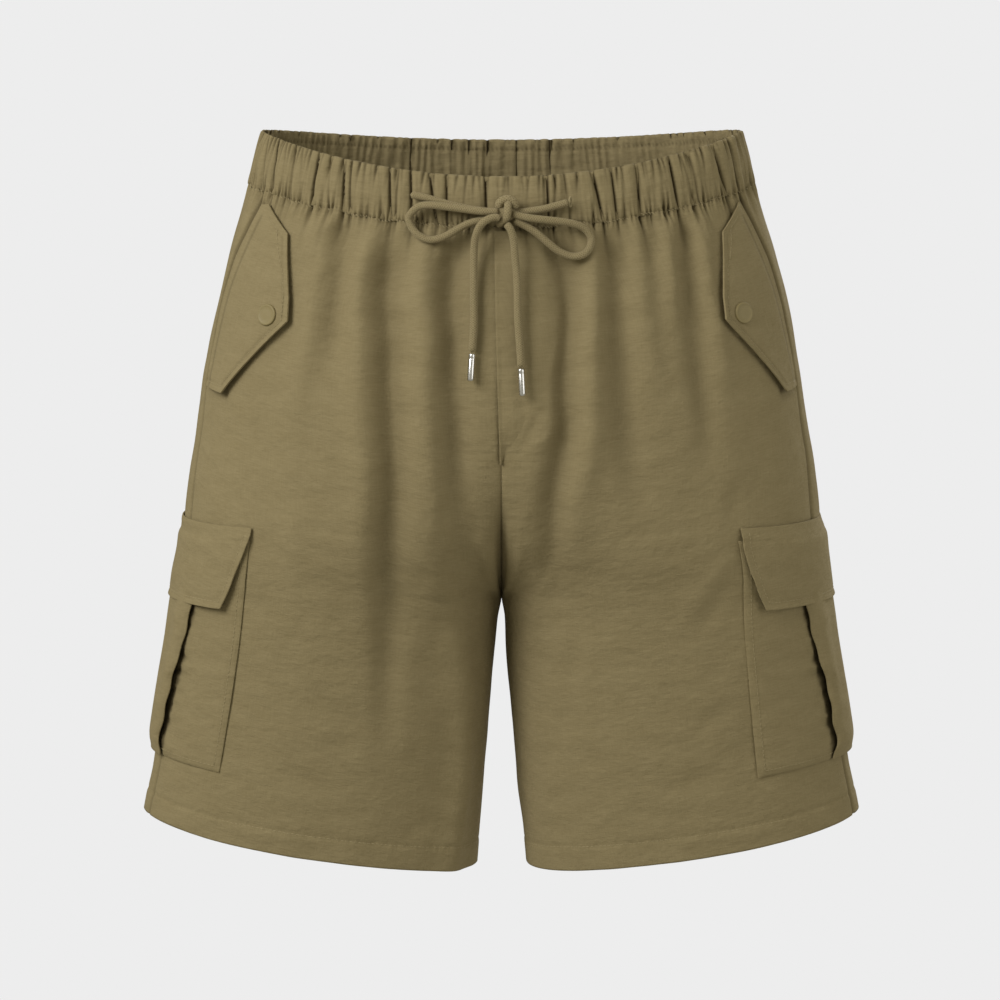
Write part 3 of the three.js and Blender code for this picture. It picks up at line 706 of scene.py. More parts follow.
def value_at(rows, column, x, key="drop"):
    """Smooth value of a column where the key column has the value x, never past its rows."""
    keys, values = rows[key], rows[column]
    rates = np.diff(values) / np.diff(keys)
    before, after = rates[:-1], rates[1:]
    level = before * after > 0
    inner = np.where(level, 2 * before * after / np.where(level, before + after, 1), 0)
    slopes = np.concatenate([rates[:1], inner, rates[-1:]])
    held = np.clip(x, keys[0], keys[-1])
    i = np.clip(np.searchsorted(keys, held) - 1, 0, len(keys) - 2)
    step = keys[i + 1] - keys[i]
    t = (held - keys[i]) / step
    start = values[i] * (2 * t**3 - 3 * t**2 + 1) + slopes[i] * step * (t**3 - 2 * t**2 + t)
    return start + values[i + 1] * (3 * t**2 - 2 * t**3) + slopes[i + 1] * step * (t**3 - t**2)


def ease(x, start, end):
    """0 before start, 1 after end, smooth between them."""
    t = np.clip((x - start) / (end - start), 0, 1)
    return t * t * (3 - 2 * t)


def mix(a, b, t):
    return a + (b - a) * t


def inner_turn(drop):
    """Turn at a panel's inner edge: a quarter turn at the waist, half a turn round a leg."""
    return np.arccos(-np.clip(value_at(sections, "part", drop), 0, 1))


def leg_half(drop):
    """Half the width of the level section that a leg's panels go round."""
    side = value_at(sections, "side", drop) - value_at(sections, "gap", drop)
    return side / (1 + value_at(sections, "part", drop))


def base_point(leg, turn, drop):
    """Bare cloth surface; turn is in radians from the side seam, positive to the front."""
    side = value_at(sections, "side", drop)
    half = leg_half(drop)
    around = np.abs(turn)
    front = turn > 0
    x = side - half + half * np.cos(around)
    depth = np.where(front, -value_at(sections, "front", drop), value_at(sections, "back", drop))
    dips = np.where(front, value_at(sections, "front_dip", drop), value_at(sections, "back_dip", drop))
    level = dips * np.sin(np.minimum(around, math.pi / 2)) ** 2
    z = WAIST_Z - drop - level - value_at(sections, "tilt", drop) * (side - x)
    return np.stack([leg * x, depth * np.sin(around), z], -1)


def base_normal(leg, turn, drop):
    step_turn, step_drop = 0.002, 0.0002
    down = np.minimum(drop, HEM_DROP - step_drop)
    across = base_point(leg, turn + step_turn, down) - base_point(leg, turn - step_turn, down)
    along = base_point(leg, turn, down + step_drop) - base_point(leg, turn, down - step_drop)
    out = np.cross(across, along) * np.asarray(leg)[..., None]
    return out / np.linalg.norm(out, axis=-1, keepdims=True)


def fold_rise(leg, turn, drop):
    """How far the largest folds raise the cloth."""
    inner = inner_turn(drop)
    place = 1 - np.abs(turn) / inner
    across = inner * leg_half(drop)
    edges = ease(place, 0, FOLD_EDGE) * ease(1 - place, 0, FOLD_EDGE)
    face = np.where(turn > 0, 1, -1)
    rise = np.zeros_like(drop)
    for fold_leg, fold_face, top, bottom, start, end, width, height in folds:
        middle = mix(top, bottom, (drop - start) / (end - start))
        off = (place - middle) * across / width
        fades = ease(drop, start, start + FOLD_EASE) * (1 - ease(drop, end - FOLD_EASE, end))
        here = (face == fold_face) & (leg == fold_leg)
        rise += np.where(here, height * edges * fades * np.exp(-off * off), 0)
    rise *= 2.2 + FOLD_GAIN * ease(drop, 0.045, 0.100)
    return rise + LONG_GAIN * crease_rise(long_folds, leg, turn, drop, fades=(0.10, 0.55))


def line_distance(across, drop, route):
    """Distance of each place from a route of straight pieces, and its share of the way along."""
    near, place, walked = np.full(len(drop), 1.0), np.zeros(len(drop)), 0.0
    for start, end in zip(route, route[1:]):
        way = end - start
        reach = float(np.hypot(*way))
        away = np.stack([across - start[0], drop - start[1]], -1)
        t = np.clip(away @ way / reach**2, 0, 1)
        off = np.hypot(away[:, 0] - t * way[0], away[:, 1] - t * way[1])
        place = np.where(off < near, walked + t * reach, place)
        near = np.minimum(off, near)
        walked += reach
    return near, place / walked


def crease_rise(lines, leg, turn, drop, fades=(0.3, 0.6)):
    """How far a list of creases raises the cloth; each fades at its ends if it has fades."""
    across = turn * leg_half(drop)
    rise = np.zeros_like(drop)
    for line_leg, points, width, height in lines:
        here = np.equal(leg, line_leg)
        if not np.any(here):
            continue
        drops = np.array([point[1] for point in points])
        route = np.stack([np.radians([point[0] for point in points]) * leg_half(drops), drops], -1)
        near, share = line_distance(across, drop, route)
        fade = ease(share, 0, fades[0]) * (1 - ease(share, fades[1], 1)) if fades else 1.0
        rise += np.where(here, height * fade * np.exp(-((near / width) ** 2)), 0)
    return rise


def soft_noise(points, size, seed=0.0):
    """Smooth noise of about that size over the points, from about -1 to 1."""
    shift = Vector((seed, seed * 1.7, -seed))
    return np.array([noise.noise(Vector(p) / size + shift) for p in points])


def cloth_point(leg, turn, drop, out=0.0):
    """A point of the cloth with its largest folds, moved out by a distance."""
    rise = fold_rise(leg, turn, drop) + out
    return base_point(leg, turn, drop) + base_normal(leg, turn, drop) * rise[..., None]


def small_gathers():
    """Short gathers of uneven pitch that start at the rim or at the seam and soon fade."""
    count = int(2 * math.pi * 0.14 / PUCKER_PITCH)
    found = []
    for i in range(count):
        turn = 2 * math.pi * (i + 0.32 * math.sin(2.4 * i) + 0.21 * math.sin(5.1 * i)) / count
        lean = 0.012 * math.sin(1.7 * i)
        at_rim = 0.55 + 0.3 * math.sin(3.3 * i)
        at_seam = 0.55 + 0.3 * math.sin(4.7 * i + 1)
        found.append((turn + lean, turn - lean, at_rim, 0.0, 0.001))
        found.append((turn - lean + 0.012, turn + lean + 0.012, 0.0, at_seam, 0.009 + 0.006 * math.sin(1.3 * i)))
    return found


def gather_list():
    """Every gather: its turn round the waist at the rim and seam, its depths there, and its run."""
    seam_side = sections["side"][0]
    found = small_gathers()
    for rim_x, seam_x, rim_depth, seam_depth, run in front_gathers:
        turns = math.acos(rim_x / rim["side"]), math.acos(seam_x / seam_side)
        found.append((*turns, rim_depth, seam_depth, run * RUN_GAIN))
    for x, depth, run in back_gathers:
        turns = -math.acos(x / rim["side"]), -math.acos(x * 1.03 / seam_side)
        found.append((*turns, depth, depth, run * RUN_GAIN))
    for degrees, depth, run in side_gathers:
        turn = math.radians(degrees)
        found.append((turn, turn, depth, depth, run))
        found.append((math.pi - turn, math.pi - turn, depth, depth, run))
    return found


all_gathers = gather_list()


def gathering(turn, height, drop=0.0):
    """How deep the gathers press in round the waist and down from the seam, and how much shade is painted into
    their valleys.
    """
    reach = np.hypot(rim["side"] * np.sin(turn), rim["front"] * np.cos(turn))
    total, dark = np.zeros_like(turn), np.zeros_like(turn)
    ends = 0.5 + 0.5 * np.abs(2 * height - 1)
    for rim_turn, seam_turn, rim_depth, seam_depth, run in all_gathers:
        middle = mix(seam_turn, rim_turn, height)
        apart = (np.mod(turn - middle + math.pi, 2 * math.pi) - math.pi) * reach
        weak = 1 - ease(np.array((rim_depth + seam_depth) / 2), 0.45, 0.8)
        depth = mix(seam_depth, rim_depth, height) * mix(1, ends**2.5, weak) * np.exp(-drop / run)
        press = np.exp(-np.abs(apart) / (GATHER_PRESS + 0.05 * drop))
        wide = GATHER_SPREAD * mix(1, 0.5, weak)
        spread = np.exp(-((apart / (wide + 0.10 * drop)) ** 2))
        total += depth * (0.62 * press * np.exp(-drop / 0.016) + 0.38 * spread)
        dark = np.maximum(dark, depth * np.exp(-((apart / (GATHER_PRESS + 0.0002 + 0.05 * drop)) ** 2)))
    return total, dark * np.exp(-drop / 0.016)


def seam_length(turn):
    """Length round the waist seam up to a turn."""
    turns = np.linspace(-2 * math.pi, 2 * math.pi, 2881)
    depth = np.where(np.sin(turns) > 0, sections["front"][0], sections["back"][0])
    steps = np.hypot(sections["side"][0] * np.sin(turns), depth * np.cos(turns)) * (turns[1] - turns[0])
    return np.interp(turn, turns, np.cumsum(steps))


def seam_ripple(turn):
    """Uneven small ripple of the waist seam, from -1 to 1."""
    along = seam_length(np.mod(turn, 2 * math.pi))
    return np.sin(2 * math.pi * along / SEAM_PITCH + 2.2 * np.sin(along / 0.0137) + 1.3 * np.sin(along / 0.0071))


def seam_sway(turn):
    """How far the waist seam wanders up and down."""
    along = seam_length(np.mod(turn, 2 * math.pi))
    return 0.0006 * np.sin(along / 0.0027 + 2 * np.sin(along / 0.017)) + 0.0006 * np.sin(along / 0.0089)


def waist_turn(leg, turn):
    """The turn round the waist, counted from the left side, of a turn on a leg's panel."""
    return turn if leg == 1 else math.pi - turn


def covered(leg, turn, drop):
    """1 where a pocket, a hip flap or the fly lies over a panel, 0 in the open."""
    side = "left" if leg == 1 else "right"
    degrees = np.degrees(turn)
    down = (drop - cargo["top_drop"]) / (cargo["bottom_drop"] - cargo["top_drop"]) * cargo["height"]
    edge = value_at(gusset_rows, side, down, "down") - np.abs(degrees)
    pocket = ease(edge, 0.3, 1.6) * ease(down, -0.002, 0.004) * (1 - ease(down, 0.180, 0.183))
    outer = np.interp(drop, hip_flap["outer_drop"], hip_flap["outer_turn"])
    front = np.interp(drop, hip_flap["front_drop"], hip_flap["front_turn"]) + hip_flap_shift[side]
    inside = ease(degrees - outer, 0.2, 1.4) * ease(front - degrees, 0.6, 2)
    flap = inside * ease(drop, 0.010, 0.014) * (1 - ease(drop, 0.136, 0.139))
    from_inner = (inner_turn(drop) - turn) * leg_half(drop)
    reach = np.where(leg == 1, fly["end"], -fly["start"])
    placket = (1 - ease(from_inner, reach - 0.004, reach)) * (1 - ease(drop, fly["foot"] - 0.004, fly["foot"]))
    return np.maximum(np.maximum(pocket, flap), placket * (1 - ease(from_inner, 0.008, 0.020)))


def panel_rise(leg, turn, drop):
    """Everything that raises or hollows a panel over its bare surface, and the shade painted into its colour."""
    half = leg_half(drop)
    from_side = np.abs(turn) * half
    from_inner = (inner_turn(drop) - np.abs(turn)) * half
    around = waist_turn(leg, turn)
    pressed, sharp = gathering(around, 0.0, drop)
    ripple = seam_ripple(around)
    points = base_point(leg, turn, drop)
    rise = 0.0013 * np.exp(-drop / 0.022) - 0.0013 * np.exp(-drop / 0.0016)
    rise -= GATHER_DEPTH * 1.05 * pressed
    rise += PUCKER_DEPTH * ripple * np.exp(-drop / 0.004)
    rise += crease_rise(creases, leg, turn, drop)
    rise += 0.0009 * soft_noise(points * np.array([1, 1, 0.4]), 0.034, 3.1)
    rise += 0.00035 * soft_noise(points * np.array([1, 1, 0.6]), 0.014, 8.4)
    rise = mix(rise, np.minimum(rise, -0.0002), covered(leg, turn, drop))
    rise -= 0.0010 * np.exp(-((from_side / 0.0016) ** 2))
    rise -= 0.0010 * np.exp(-((from_inner / 0.0014) ** 2))
    rise += 0.0020 * (leg == 1) * np.exp(-((from_inner / 0.020) ** 2)) * ease(drop, 0.280, 0.320) * (1 - ease(drop, 0.400, 0.440))
    low = (turn > 0) * ease(drop, 0.175, 0.235) * (1 - ease(drop, 0.262, 0.275))
    rise += low * (0.0022 * np.exp(-(((from_inner - 0.016) / 0.009) ** 2)) - 0.0030 * np.exp(-((from_inner / 0.005) ** 2)))
    lines = crease_rise(side_lines + flap_outlines, leg, turn, drop, fades=None)
    hem = ease(drop, HEM_DROP - HEM_TURNED - 0.0004, HEM_DROP - HEM_TURNED + 0.0008)
    line = drop - (HEM_DROP - HEM_TURNED)
    pucker = np.sin(from_side / 0.0012 + 3 * np.sin(from_side / 0.011))
    rise += 0.0003 * hem + (0.00028 * pucker - 0.0005) * np.exp(-((line / 0.0018) ** 2))
    middle, spread, depth = SIDE_DRAW[leg]
    at_side = 1 - ease(from_side, 0.018, 0.050)
    rise -= depth * np.exp(-(((drop - middle) / spread) ** 2)) * at_side
    rise += SIDE_FULL[leg] * np.exp(-(((drop - 0.205) / 0.045) ** 2)) * at_side
    folded = fold_rise(leg, turn, drop)
    # Painted shade: darker in the gather valleys, along the waist seam's foot, in the sewn lines' grooves, in the
    # fold troughs and in the crease at the centre seam
    shade = 0.9 * sharp + 0.25 * np.exp(-drop / 0.0010) * (0.7 - 0.5 * ripple) - 300 * lines
    shade += FOLD_SHADE * np.maximum(-folded, 0) + 0.4 * low * np.exp(-((from_inner / 0.0035) ** 2))
    return folded + rise + lines, np.clip(shade, 0, 1)


def empty_piece(name, mesh, finish):
    piece = bpy.data.objects.new(name, mesh)
    bpy.context.scene.collection.objects.link(piece)
    mesh.materials.append(finish)
    mesh.polygons.foreach_set("use_smooth", np.ones(len(mesh.polygons), bool))
    return piece


def read_points(mesh, field="co"):
    values = np.zeros(len(mesh.vertices) * 3, np.float32)
    mesh.vertices.foreach_get(field, values)
    return values.reshape(-1, 3).astype(float)


def shaped_grid(name, columns, rows, place, finish):
    """A grid whose place function gives, from its two ways 0 to 1, each vertex's point, its UV
    place in metres, the shade painted into its colour and the way out."""
    bm = bmesh.new()
    bmesh.ops.create_grid(bm, x_segments=columns, y_segments=rows, size=0.5)
    mesh = bpy.data.meshes.new(name)
    bm.to_mesh(mesh)
    bm.free()
    flat = read_points(mesh)
    points, uv, shade, outward = place(flat[:, 0] + 0.5, flat[:, 1] + 0.5)
    mesh.vertices.foreach_set("co", points.astype(np.float32).ravel())
    mesh.update()
    if np.sum(read_points(mesh, "normal") * outward) < 0:
        mesh.flip_normals()
    corners = np.zeros(len(mesh.loops), np.int32)
    mesh.loops.foreach_get("vertex_index", corners)
    layer = mesh.uv_layers.new(name="UVMap")
    layer.data.foreach_set("uv", uv[corners].astype(np.float32).ravel())
    # The painted shade, kept as a point attribute that darkens the cloth's colour
    painted_shade = mesh.attributes.new("painted_shade", "FLOAT", "POINT")
    painted_shade.data.foreach_set("value", np.broadcast_to(shade, len(points)).astype(np.float32))
    return empty_piece(name, mesh, finish)


def close_seams(piece, distance=1e-5):
    """Merges the vertices where a grid meets itself."""
    bm = bmesh.new()
    bm.from_mesh(piece.data)
    bmesh.ops.remove_doubles(bm, verts=bm.verts, dist=distance)
    bm.to_mesh(piece.data)
    bm.free()


def add_wall(piece, thickness, edge=0.0):
    """Gives a sheet its thickness inwards, and rounds its edges."""
    wall = piece.modifiers.new("wall", "SOLIDIFY")
    wall.thickness = thickness
    wall.offset = -1
    if edge:
        rounding = piece.modifiers.new("edge", "BEVEL")
        rounding.width = edge
        rounding.segments = 2
        rounding.limit_method = "ANGLE"
        rounding.angle_limit = math.radians(50)


def hold(piece, node=None):
    """Puts a finished piece in the frame, in place of its solid."""
    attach(piece, BODY)
    if node:
        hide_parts(node)
    return piece


def panel_drops():
    """Levels of a panel's rows: close at the waist seam and the hem, wider between."""
    waist = np.linspace(0, 0.06, 40)
    middle = np.linspace(0.06, 0.44, 86)
    hem = np.linspace(0.44, HEM_DROP, 18)
    return np.concatenate([waist, middle[1:], hem[1:]])


def make_panel(side, face, finish):
    leg, sign = LEGS[side], FACES[face]
    drops = panel_drops()

    def place(across, along):
        drop = np.interp(along, np.linspace(0, 1, len(drops)), drops)
        turn = sign * np.maximum(1e-6, inner_turn(drop) * across)
        rise, shade = panel_rise(leg, turn, drop)
        out = base_normal(leg, turn, drop)
        half = leg_half(drop)
        from_inner = (inner_turn(drop) - np.abs(turn)) * half
        joined = (1 - ease(from_inner, 0, 0.004)) * (drop < 0.272)
        move = out * rise[:, None]
        move[:, 0] = mix(move[:, 0], -leg * 0.0002, joined)
        move[:, 2] += seam_sway(waist_turn(leg, turn)) * np.exp(-drop / 0.004)
        from_side = np.abs(turn) * half
        lift = HEM_LIFT * np.exp(-((from_side / 0.105) ** 2)) + 0.0018 * np.exp(-((from_inner / 0.040) ** 2))
        move[:, 2] += lift * ease(drop, 0.42, HEM_DROP)
        tucked = drop < 0.0007
        move += (out * -0.0008 + np.array([0, 0, 0.0038])) * tucked[:, None]
        uv = np.stack([turn * half, drop], -1)
        return base_point(leg, turn, drop) + move, uv, shade, out

    name = f"{face}_{side}"
    piece = shaped_grid(name + "_cloth", PANEL_COLUMNS, len(drops) - 1, place, finish)
    add_wall(piece, PANEL_WALL)
    return hold(piece, name)


def band_point(turn, height, out):
    """A point on the waistband at a height between 0, its seam, and 1, its rim."""
    front = np.sin(turn) > 0
    side = mix(sections["side"][0], rim["side"], height)
    depths = np.where(front, sections["front"][0], sections["back"][0])
    depth = mix(depths, np.where(front, rim["front"], rim["back"]), height)
    dips = np.where(front, sections["front_dip"][0], sections["back_dip"][0])
    dip = mix(dips, np.where(front, rim["front_dip"], rim["back_dip"]), height)
    swell = np.stack([np.cos(turn) / side, np.sin(turn) / depth], -1)
    swell /= np.linalg.norm(swell, axis=-1, keepdims=True)
    x = side * np.cos(turn) + out * swell[..., 0]
    y = -depth * np.sin(turn) - out * swell[..., 1]
    z = mix(WAIST_Z, -WAIST_Z, height) - dip * np.sin(turn) ** 2
    return np.stack([x, y, z], -1)


def make_waistband(finish):
    """Gathered casing: up the outside, over the rim and down the inside."""

    def place(across, along):
        turn = 2 * math.pi * across
        height = value_at(band_profile, "height", along, "round")
        out = value_at(band_profile, "out", along, "round")
        gather = value_at(band_profile, "gather", along, "round")
        pressed, sharp = gathering(turn, height)
        level = band_point(turn, height, out)
        puff = soft_noise(level * np.array([1, 1, 0.35]), 0.010, 2.2)
        small = soft_noise(level * np.array([1, 1, 0.5]), 0.0042, 5.5)
        outside = np.sign(0.5 - along)
        foot = np.exp(-height * BAND_HEIGHT / 0.004) * (along < 0.5)
        top = np.exp(-(1 - height) * BAND_HEIGHT / 0.005)
        ripple = seam_ripple(turn)
        out = out - GATHER_DEPTH * pressed * gather + 0.0009 * puff * outside
        fine = soft_noise(level * np.array([1, 1, 0.16]), 0.0036, 7.7)
        out = out + PUCKER_DEPTH * ripple * foot + (0.0006 * small * top + 0.00055 * fine) * outside
        within = ease(along, 0.52, 0.56)
        length = seam_length(turn)
        pleats = np.sin(length / 0.0011 + 2.4 * np.sin(length / 0.0071) + 1.5 * np.sin(length / 0.019 + height))
        inner_line = np.exp(-(((height - BAND_INNER_LINE - 0.012 * ripple) / 0.022) ** 2)) * within
        out = out + 0.0009 * inner_line + 0.0004 * pleats * within
        points = band_point(turn, height, out)
        edge = ease(height, 0.8, 1)
        points[:, 2] += 0.0002 * small * edge - 0.0005 * edge * pressed + seam_sway(turn) * foot
        # Painted shade: outside, darker in the gather valleys and along the seam's foot; inside, darker in the
        # gathers, the pleat hollows and along the stitched inner line
        seam = 0.3 * np.exp(-height * BAND_HEIGHT / 0.0009) * (along < 0.5) * (0.7 - 0.5 * ripple)
        shade = np.clip(1.25 * sharp * np.maximum(gather, 0) + seam, 0, 1)
        inside = 0.16 * sharp + 0.04 * np.maximum(-pleats, 0) ** 3 + 0.35 * inner_line * (0.6 + 0.4 * ripple)
        shade = mix(shade, np.clip(inside, 0, 1), within)
        uv = np.stack([0.92 * across, 0.1 * along], -1)
        outward = np.stack([np.cos(turn), -np.sin(turn), 0 * turn], -1)
        return points, uv, shade, outward * outside[:, None]

    piece = shaped_grid("waistband_cloth", BAND_COLUMNS, BAND_ROWS, place, finish)
    close_seams(piece)
    return hold(piece, "waistband")


def patch_place(leg, spot):
    """Turns a patch's spot function, which gives turn, drop and distance out, into a place."""

    def place(across, along):
        turn, drop, out, *more = spot(across, along)
        here = more[0] if more else leg
        shade = more[1] if len(more) > 1 else 0.0
        points = cloth_point(here, turn, drop, out)
        uv = np.stack([turn * leg_half(drop), drop], -1)
        return points, uv, shade, base_normal(here, turn, drop)

    return place


def hip_flap_spot(side):
    """Places on a hip flap: across from its sewn edge to its free one, along downwards."""
    free_turn = np.radians([*(hip_flap["front_turn"] + hip_flap_shift[side]), hip_flap["outer_turn"][-1]])
    free_drop = np.array([*hip_flap["front_drop"], hip_flap["outer_drop"][-1]])
    free_edge = np.stack([free_turn * leg_half(free_drop), free_drop], -1)

    def spot(across, along):
        row = along * (len(hip_flap["outer_turn"]) - 1)
        at = {name: np.interp(row, np.arange(len(column)), column) for name, column in hip_flap.items()}
        turn = np.radians(mix(at["outer_turn"], at["front_turn"] + hip_flap_shift[side], across))
        drop = mix(at["outer_drop"], at["front_drop"], across)
        border, _ = line_distance(turn * leg_half(drop), drop, free_edge)
        free = ease(across, 0.35, 1) * ease(along, 0.02, 0.5)
        foot = ease(along, 0.8, 1)
        sewn_edge = across * (at["front_turn"] - at["outer_turn"]) * 0.0033
        bead = 0.6 * np.exp(-((sewn_edge / 0.0030) ** 2)) + np.exp(-((border / 0.0014) ** 2))
        line = np.exp(-(((border - 0.0050) / 0.0010) ** 2)) * ease(along, 0.1, 0.2)
        sewn = np.exp(-(((sewn_edge - 0.0090) / 0.0022) ** 2)) * ease(along, 0.05, 0.15)
        low = 1 - ease(sewn_edge, 0, 0.014)
        lift = HIP_FLAP_LIFT * (1 - 0.9 * low) + 0.0018 * free + 0.0009 * foot * (1 - low) + 0.0006 * np.minimum(bead, 1)
        wave = np.sin(along * 9.5 + 1.2) * 0.0003 * across
        out = HIP_FLAP_WALL + lift + wave - 0.0004 * line - 0.0004 * sewn
        # The shade returned is painted shade along the flap's two stitched grooves
        return turn + 0.010 * free, drop, out, LEGS[side], 0.3 * sewn + 0.12 * line

    return spot


def make_hip_flap(side, finish):
    place = patch_place(LEGS[side], hip_flap_spot(side))
    piece = shaped_grid(f"hip_flap_{side}_cloth", 52, 84, place, finish)
    add_wall(piece, HIP_FLAP_WALL, 0.0004)
    return hold(piece, f"hip_flap_{side}")


def cargo_drop(turn, down):
    """Drop of a place on the cargo pocket, at a turn in degrees and a distance down."""
    top = cargo["top_drop"] - cargo["corner_rise"] * (turn / cargo["corner_turn"]) ** 2
    return mix(top, cargo["bottom_drop"], down / cargo["height"])


def cargo_rows_spot(side, rows, out, wavy=0.0):
    """Places on a cargo piece whose rows run from their first to their last distance down."""

    def spot(across, along):
        down = mix(rows["down"][0], rows["down"][-1], along)
        waves = np.sin(along * 19 + 1.9 * np.sin(along * 7)) + 0.6 * np.sin(along * 43 + across * 3)
        turn = value_at(rows, side, down, "down") * (2 * across - 1) * (1 + wavy * waves)
        distance, shade = out(side, across, along, down, turn)
        return np.radians(turn), cargo_drop(turn, down), distance, LEGS[side], shade

    return spot


def gusset_out(side, across, along, down, turn):
    """The pocket's ground: flat at its sewn edges, pressed in beside the raised face."""
    edge = np.minimum(across, 1 - across)
    seam = np.exp(-((edge / 0.012) ** 2)) + np.exp(-(((1 - along) / 0.016) ** 2))
    line = np.exp(-(((edge - 0.022) / 0.006) ** 2)) + np.exp(-(((1 - along - 0.026) / 0.008) ** 2))
    beside = (np.abs(turn) - value_at(face_rows, side, down, "down")) / 57.3 * 0.13
    ragged = 1 + 0.5 * np.sin(down * 260 + 2 * np.sin(down * 110)) + 0.25 * np.sin(down * 610)
    groove = np.exp(-((np.maximum(beside, 0) / (0.0034 * ragged)) ** 2))
    open_ground = ease(edge, 0.03, 0.12) * (1 - groove)
    level = np.stack([down * 1000, turn, 0 * turn], -1)
    wrinkle = soft_noise(level * np.array([0.16, 0.05, 0]), 1.0, 4.4)
    small = soft_noise(level * np.array([0.33, 0.13, 0]), 1.0, 1.9)
    near = np.exp(-((np.maximum(beside, 0) / 0.016) ** 2)) * ease(edge, 0.04, 0.14)
    soft = (0.0011 * wrinkle + 0.0006 * small) * near + 0.00025 * small * open_ground
    out = LAYER_GAP + GUSSET_WALL + 0.0005 - 0.0012 * np.clip(seam, 0, 1) - 0.0003 * line
    # Painted shade in the groove beside the raised face and in the wrinkles' hollows near it
    return out + soft - 0.0007 * groove, np.clip(0.7 * groove + 0.3 * near * np.clip(-wrinkle, 0, 1), 0, 1)


def face_out(side, across, along, down, turn):
    """The pocket's raised face: its long edges stand well clear and roll, its foot turns in."""
    edge = np.minimum(across, 1 - across)
    middle = ease(along, 0.05, 0.4) * (1 - ease(along, 0.9, 1))
    lifted = np.exp(-((edge / 0.20) ** 2))
    rolled = 0.4 * np.exp(-((edge / 0.018) ** 2)) + 0.9 * np.exp(-((edge / 0.075) ** 2))
    foot = np.exp(-(((1 - along) / 0.04) ** 2))
    wave = np.sin(along * 17 + 2.2 * np.sin(along * 9)) * lifted
    long_fold = np.sin(across * 21 + 1.6 * np.sin(along * 5)) * (1 - rolled)
    out = value_at(face_rows, "out", down, "down") + 0.0040 * middle * lifted - 0.0030 * rolled * middle
    out = out + (0.0005 * wave + 0.00045 * long_fold) * middle - 0.0022 * foot
    return out + 0.0016 * ease(down, 0.09, 0.14), 0.0


def flap_out(side, across, along, down, turn):
    """The pocket's flap: sewn down at its top, its free edges lifted over the face."""
    middle = value_at(flap_rows, "middle", down, "down")
    edge = value_at(flap_rows, "edge", down, "down")
    share = ease(np.abs(2 * across - 1), 0.55, 0.95)
    corner = share * ease(along, 0.25, 1)
    border = np.minimum(np.minimum(across, 1 - across) * 0.23, (1 - along) * 0.063)
    line = np.exp(-(((border - 0.0052) / 0.0011) ** 2)) * (along > 0.12)
    top = np.exp(-(((along - 0.17) / 0.025) ** 2))
    rim_lift = np.exp(-((border / 0.0022) ** 2)) * (along > 0.1)
    lift = 0.0030 * corner + 0.0006 * rim_lift - 0.0004 * line - 0.0003 * top
    slack = 0.0018 * (side == "right") * ease(down, 0.002, 0.01) * (1 - ease(down, 0.02, 0.05))
    middle = middle - 0.0008 * ease(down, 0.01, 0.03) - slack
    return mix(middle, edge, share) + FLAP_WALL + lift, 0.0


def make_cargo_part(side, part, finish):
    """One piece of a cargo pocket: its gusset, its raised face, or its flap."""
    rows, out, wall, columns, lines, cut = {
        "gusset": (gusset_rows, gusset_out, GUSSET_WALL, 130, 72, (0.225, 0.178)),
        "face": (face_rows, face_out, FACE_WALL, 76, 76, (0.105, 0.168)),
        "flap": (flap_rows, flap_out, FLAP_WALL, 120, 44, (0.245, 0.068)),
    }[part]
    node = f"cargo_{part}_{side}"
    wavy = 0.022 if part == "face" else 0.0
    place = patch_place(LEGS[side], cargo_rows_spot(side, rows, out, wavy))
    piece = shaped_grid(node + "_cloth", columns, lines, place, finish)
    add_wall(piece, wall, 0.0004)
    return hold(piece, node)


def fly_spot(across, along):
    """Places on the mock fly: a crisp edge at the centre, and one that sinks into the cloth."""
    drop = mix(fly["top"], fly["foot"], along)
    foot = np.clip((drop - (fly["foot"] - fly["curve"])) / fly["curve"], 0, 0.95)
    start = fly["start"] * (1 - 0.75 * along**1.5)
    x = mix(start, fly["end"] * np.sqrt(1 - foot**2), across)
    leg = np.where(x < 0, -1, 1)
    turn = inner_turn(drop) - np.abs(x) / leg_half(drop)
    crisp = np.exp(-((across / 0.05) ** 2))
    level = np.stack([drop * 160, x * 60, 0 * x], -1)
    soft = 0.0003 * soft_noise(level, 1.0, 6.1) * (1 - crisp)
    panel, shade = panel_rise(1, turn, drop)
    under = panel - fold_rise(1, turn, drop) - 0.0005
    sunk = np.minimum(ease(across, 0.25, 0.6) + ease(along, 0.8, 0.98) * ease(across, 0.05, 0.2), 1)
    out = mix(fly["lift"] + fly["wall"] + soft + 0.0004 * crisp, under, sunk)
    # Where the fly sinks into the panel it takes on the panel's painted shade
    return turn, drop, out, leg, shade * sunk


def make_fly(finish):
    piece = shaped_grid("fly_placket_cloth", 36, 100, patch_place(1, fly_spot), finish)
    add_wall(piece, fly["wall"], 0.0003)
    return hold(piece, "fly_placket")


def centripetal(points, steps):
    """Points of the smooth curve through a route, with that many steps between each two."""
    route = [np.array(p, float) for p in points]
    route = [2 * route[0] - route[1], *route, 2 * route[-1] - route[-2]]
    found = []
    for a, b, c, d in zip(route, route[1:], route[2:], route[3:]):
        first, middle, last = (np.linalg.norm(q - p) ** 0.5 for p, q in ((a, b), (b, c), (c, d)))
        leave = (b - a) / first - (c - a) / (first + middle) + (c - b) / middle
        arrive = (c - b) / middle - (d - b) / (middle + last) + (d - c) / last
        leave, arrive = leave * middle, arrive * middle
        for t in np.arange(steps) / steps:
            start = b * (2 * t**3 - 3 * t**2 + 1) + leave * (t**3 - 2 * t**2 + t)
            found.append(start + c * (3 * t**2 - 2 * t**3) + arrive * (t**3 - t**2))
    found.append(route[-2])
    return np.array(found)


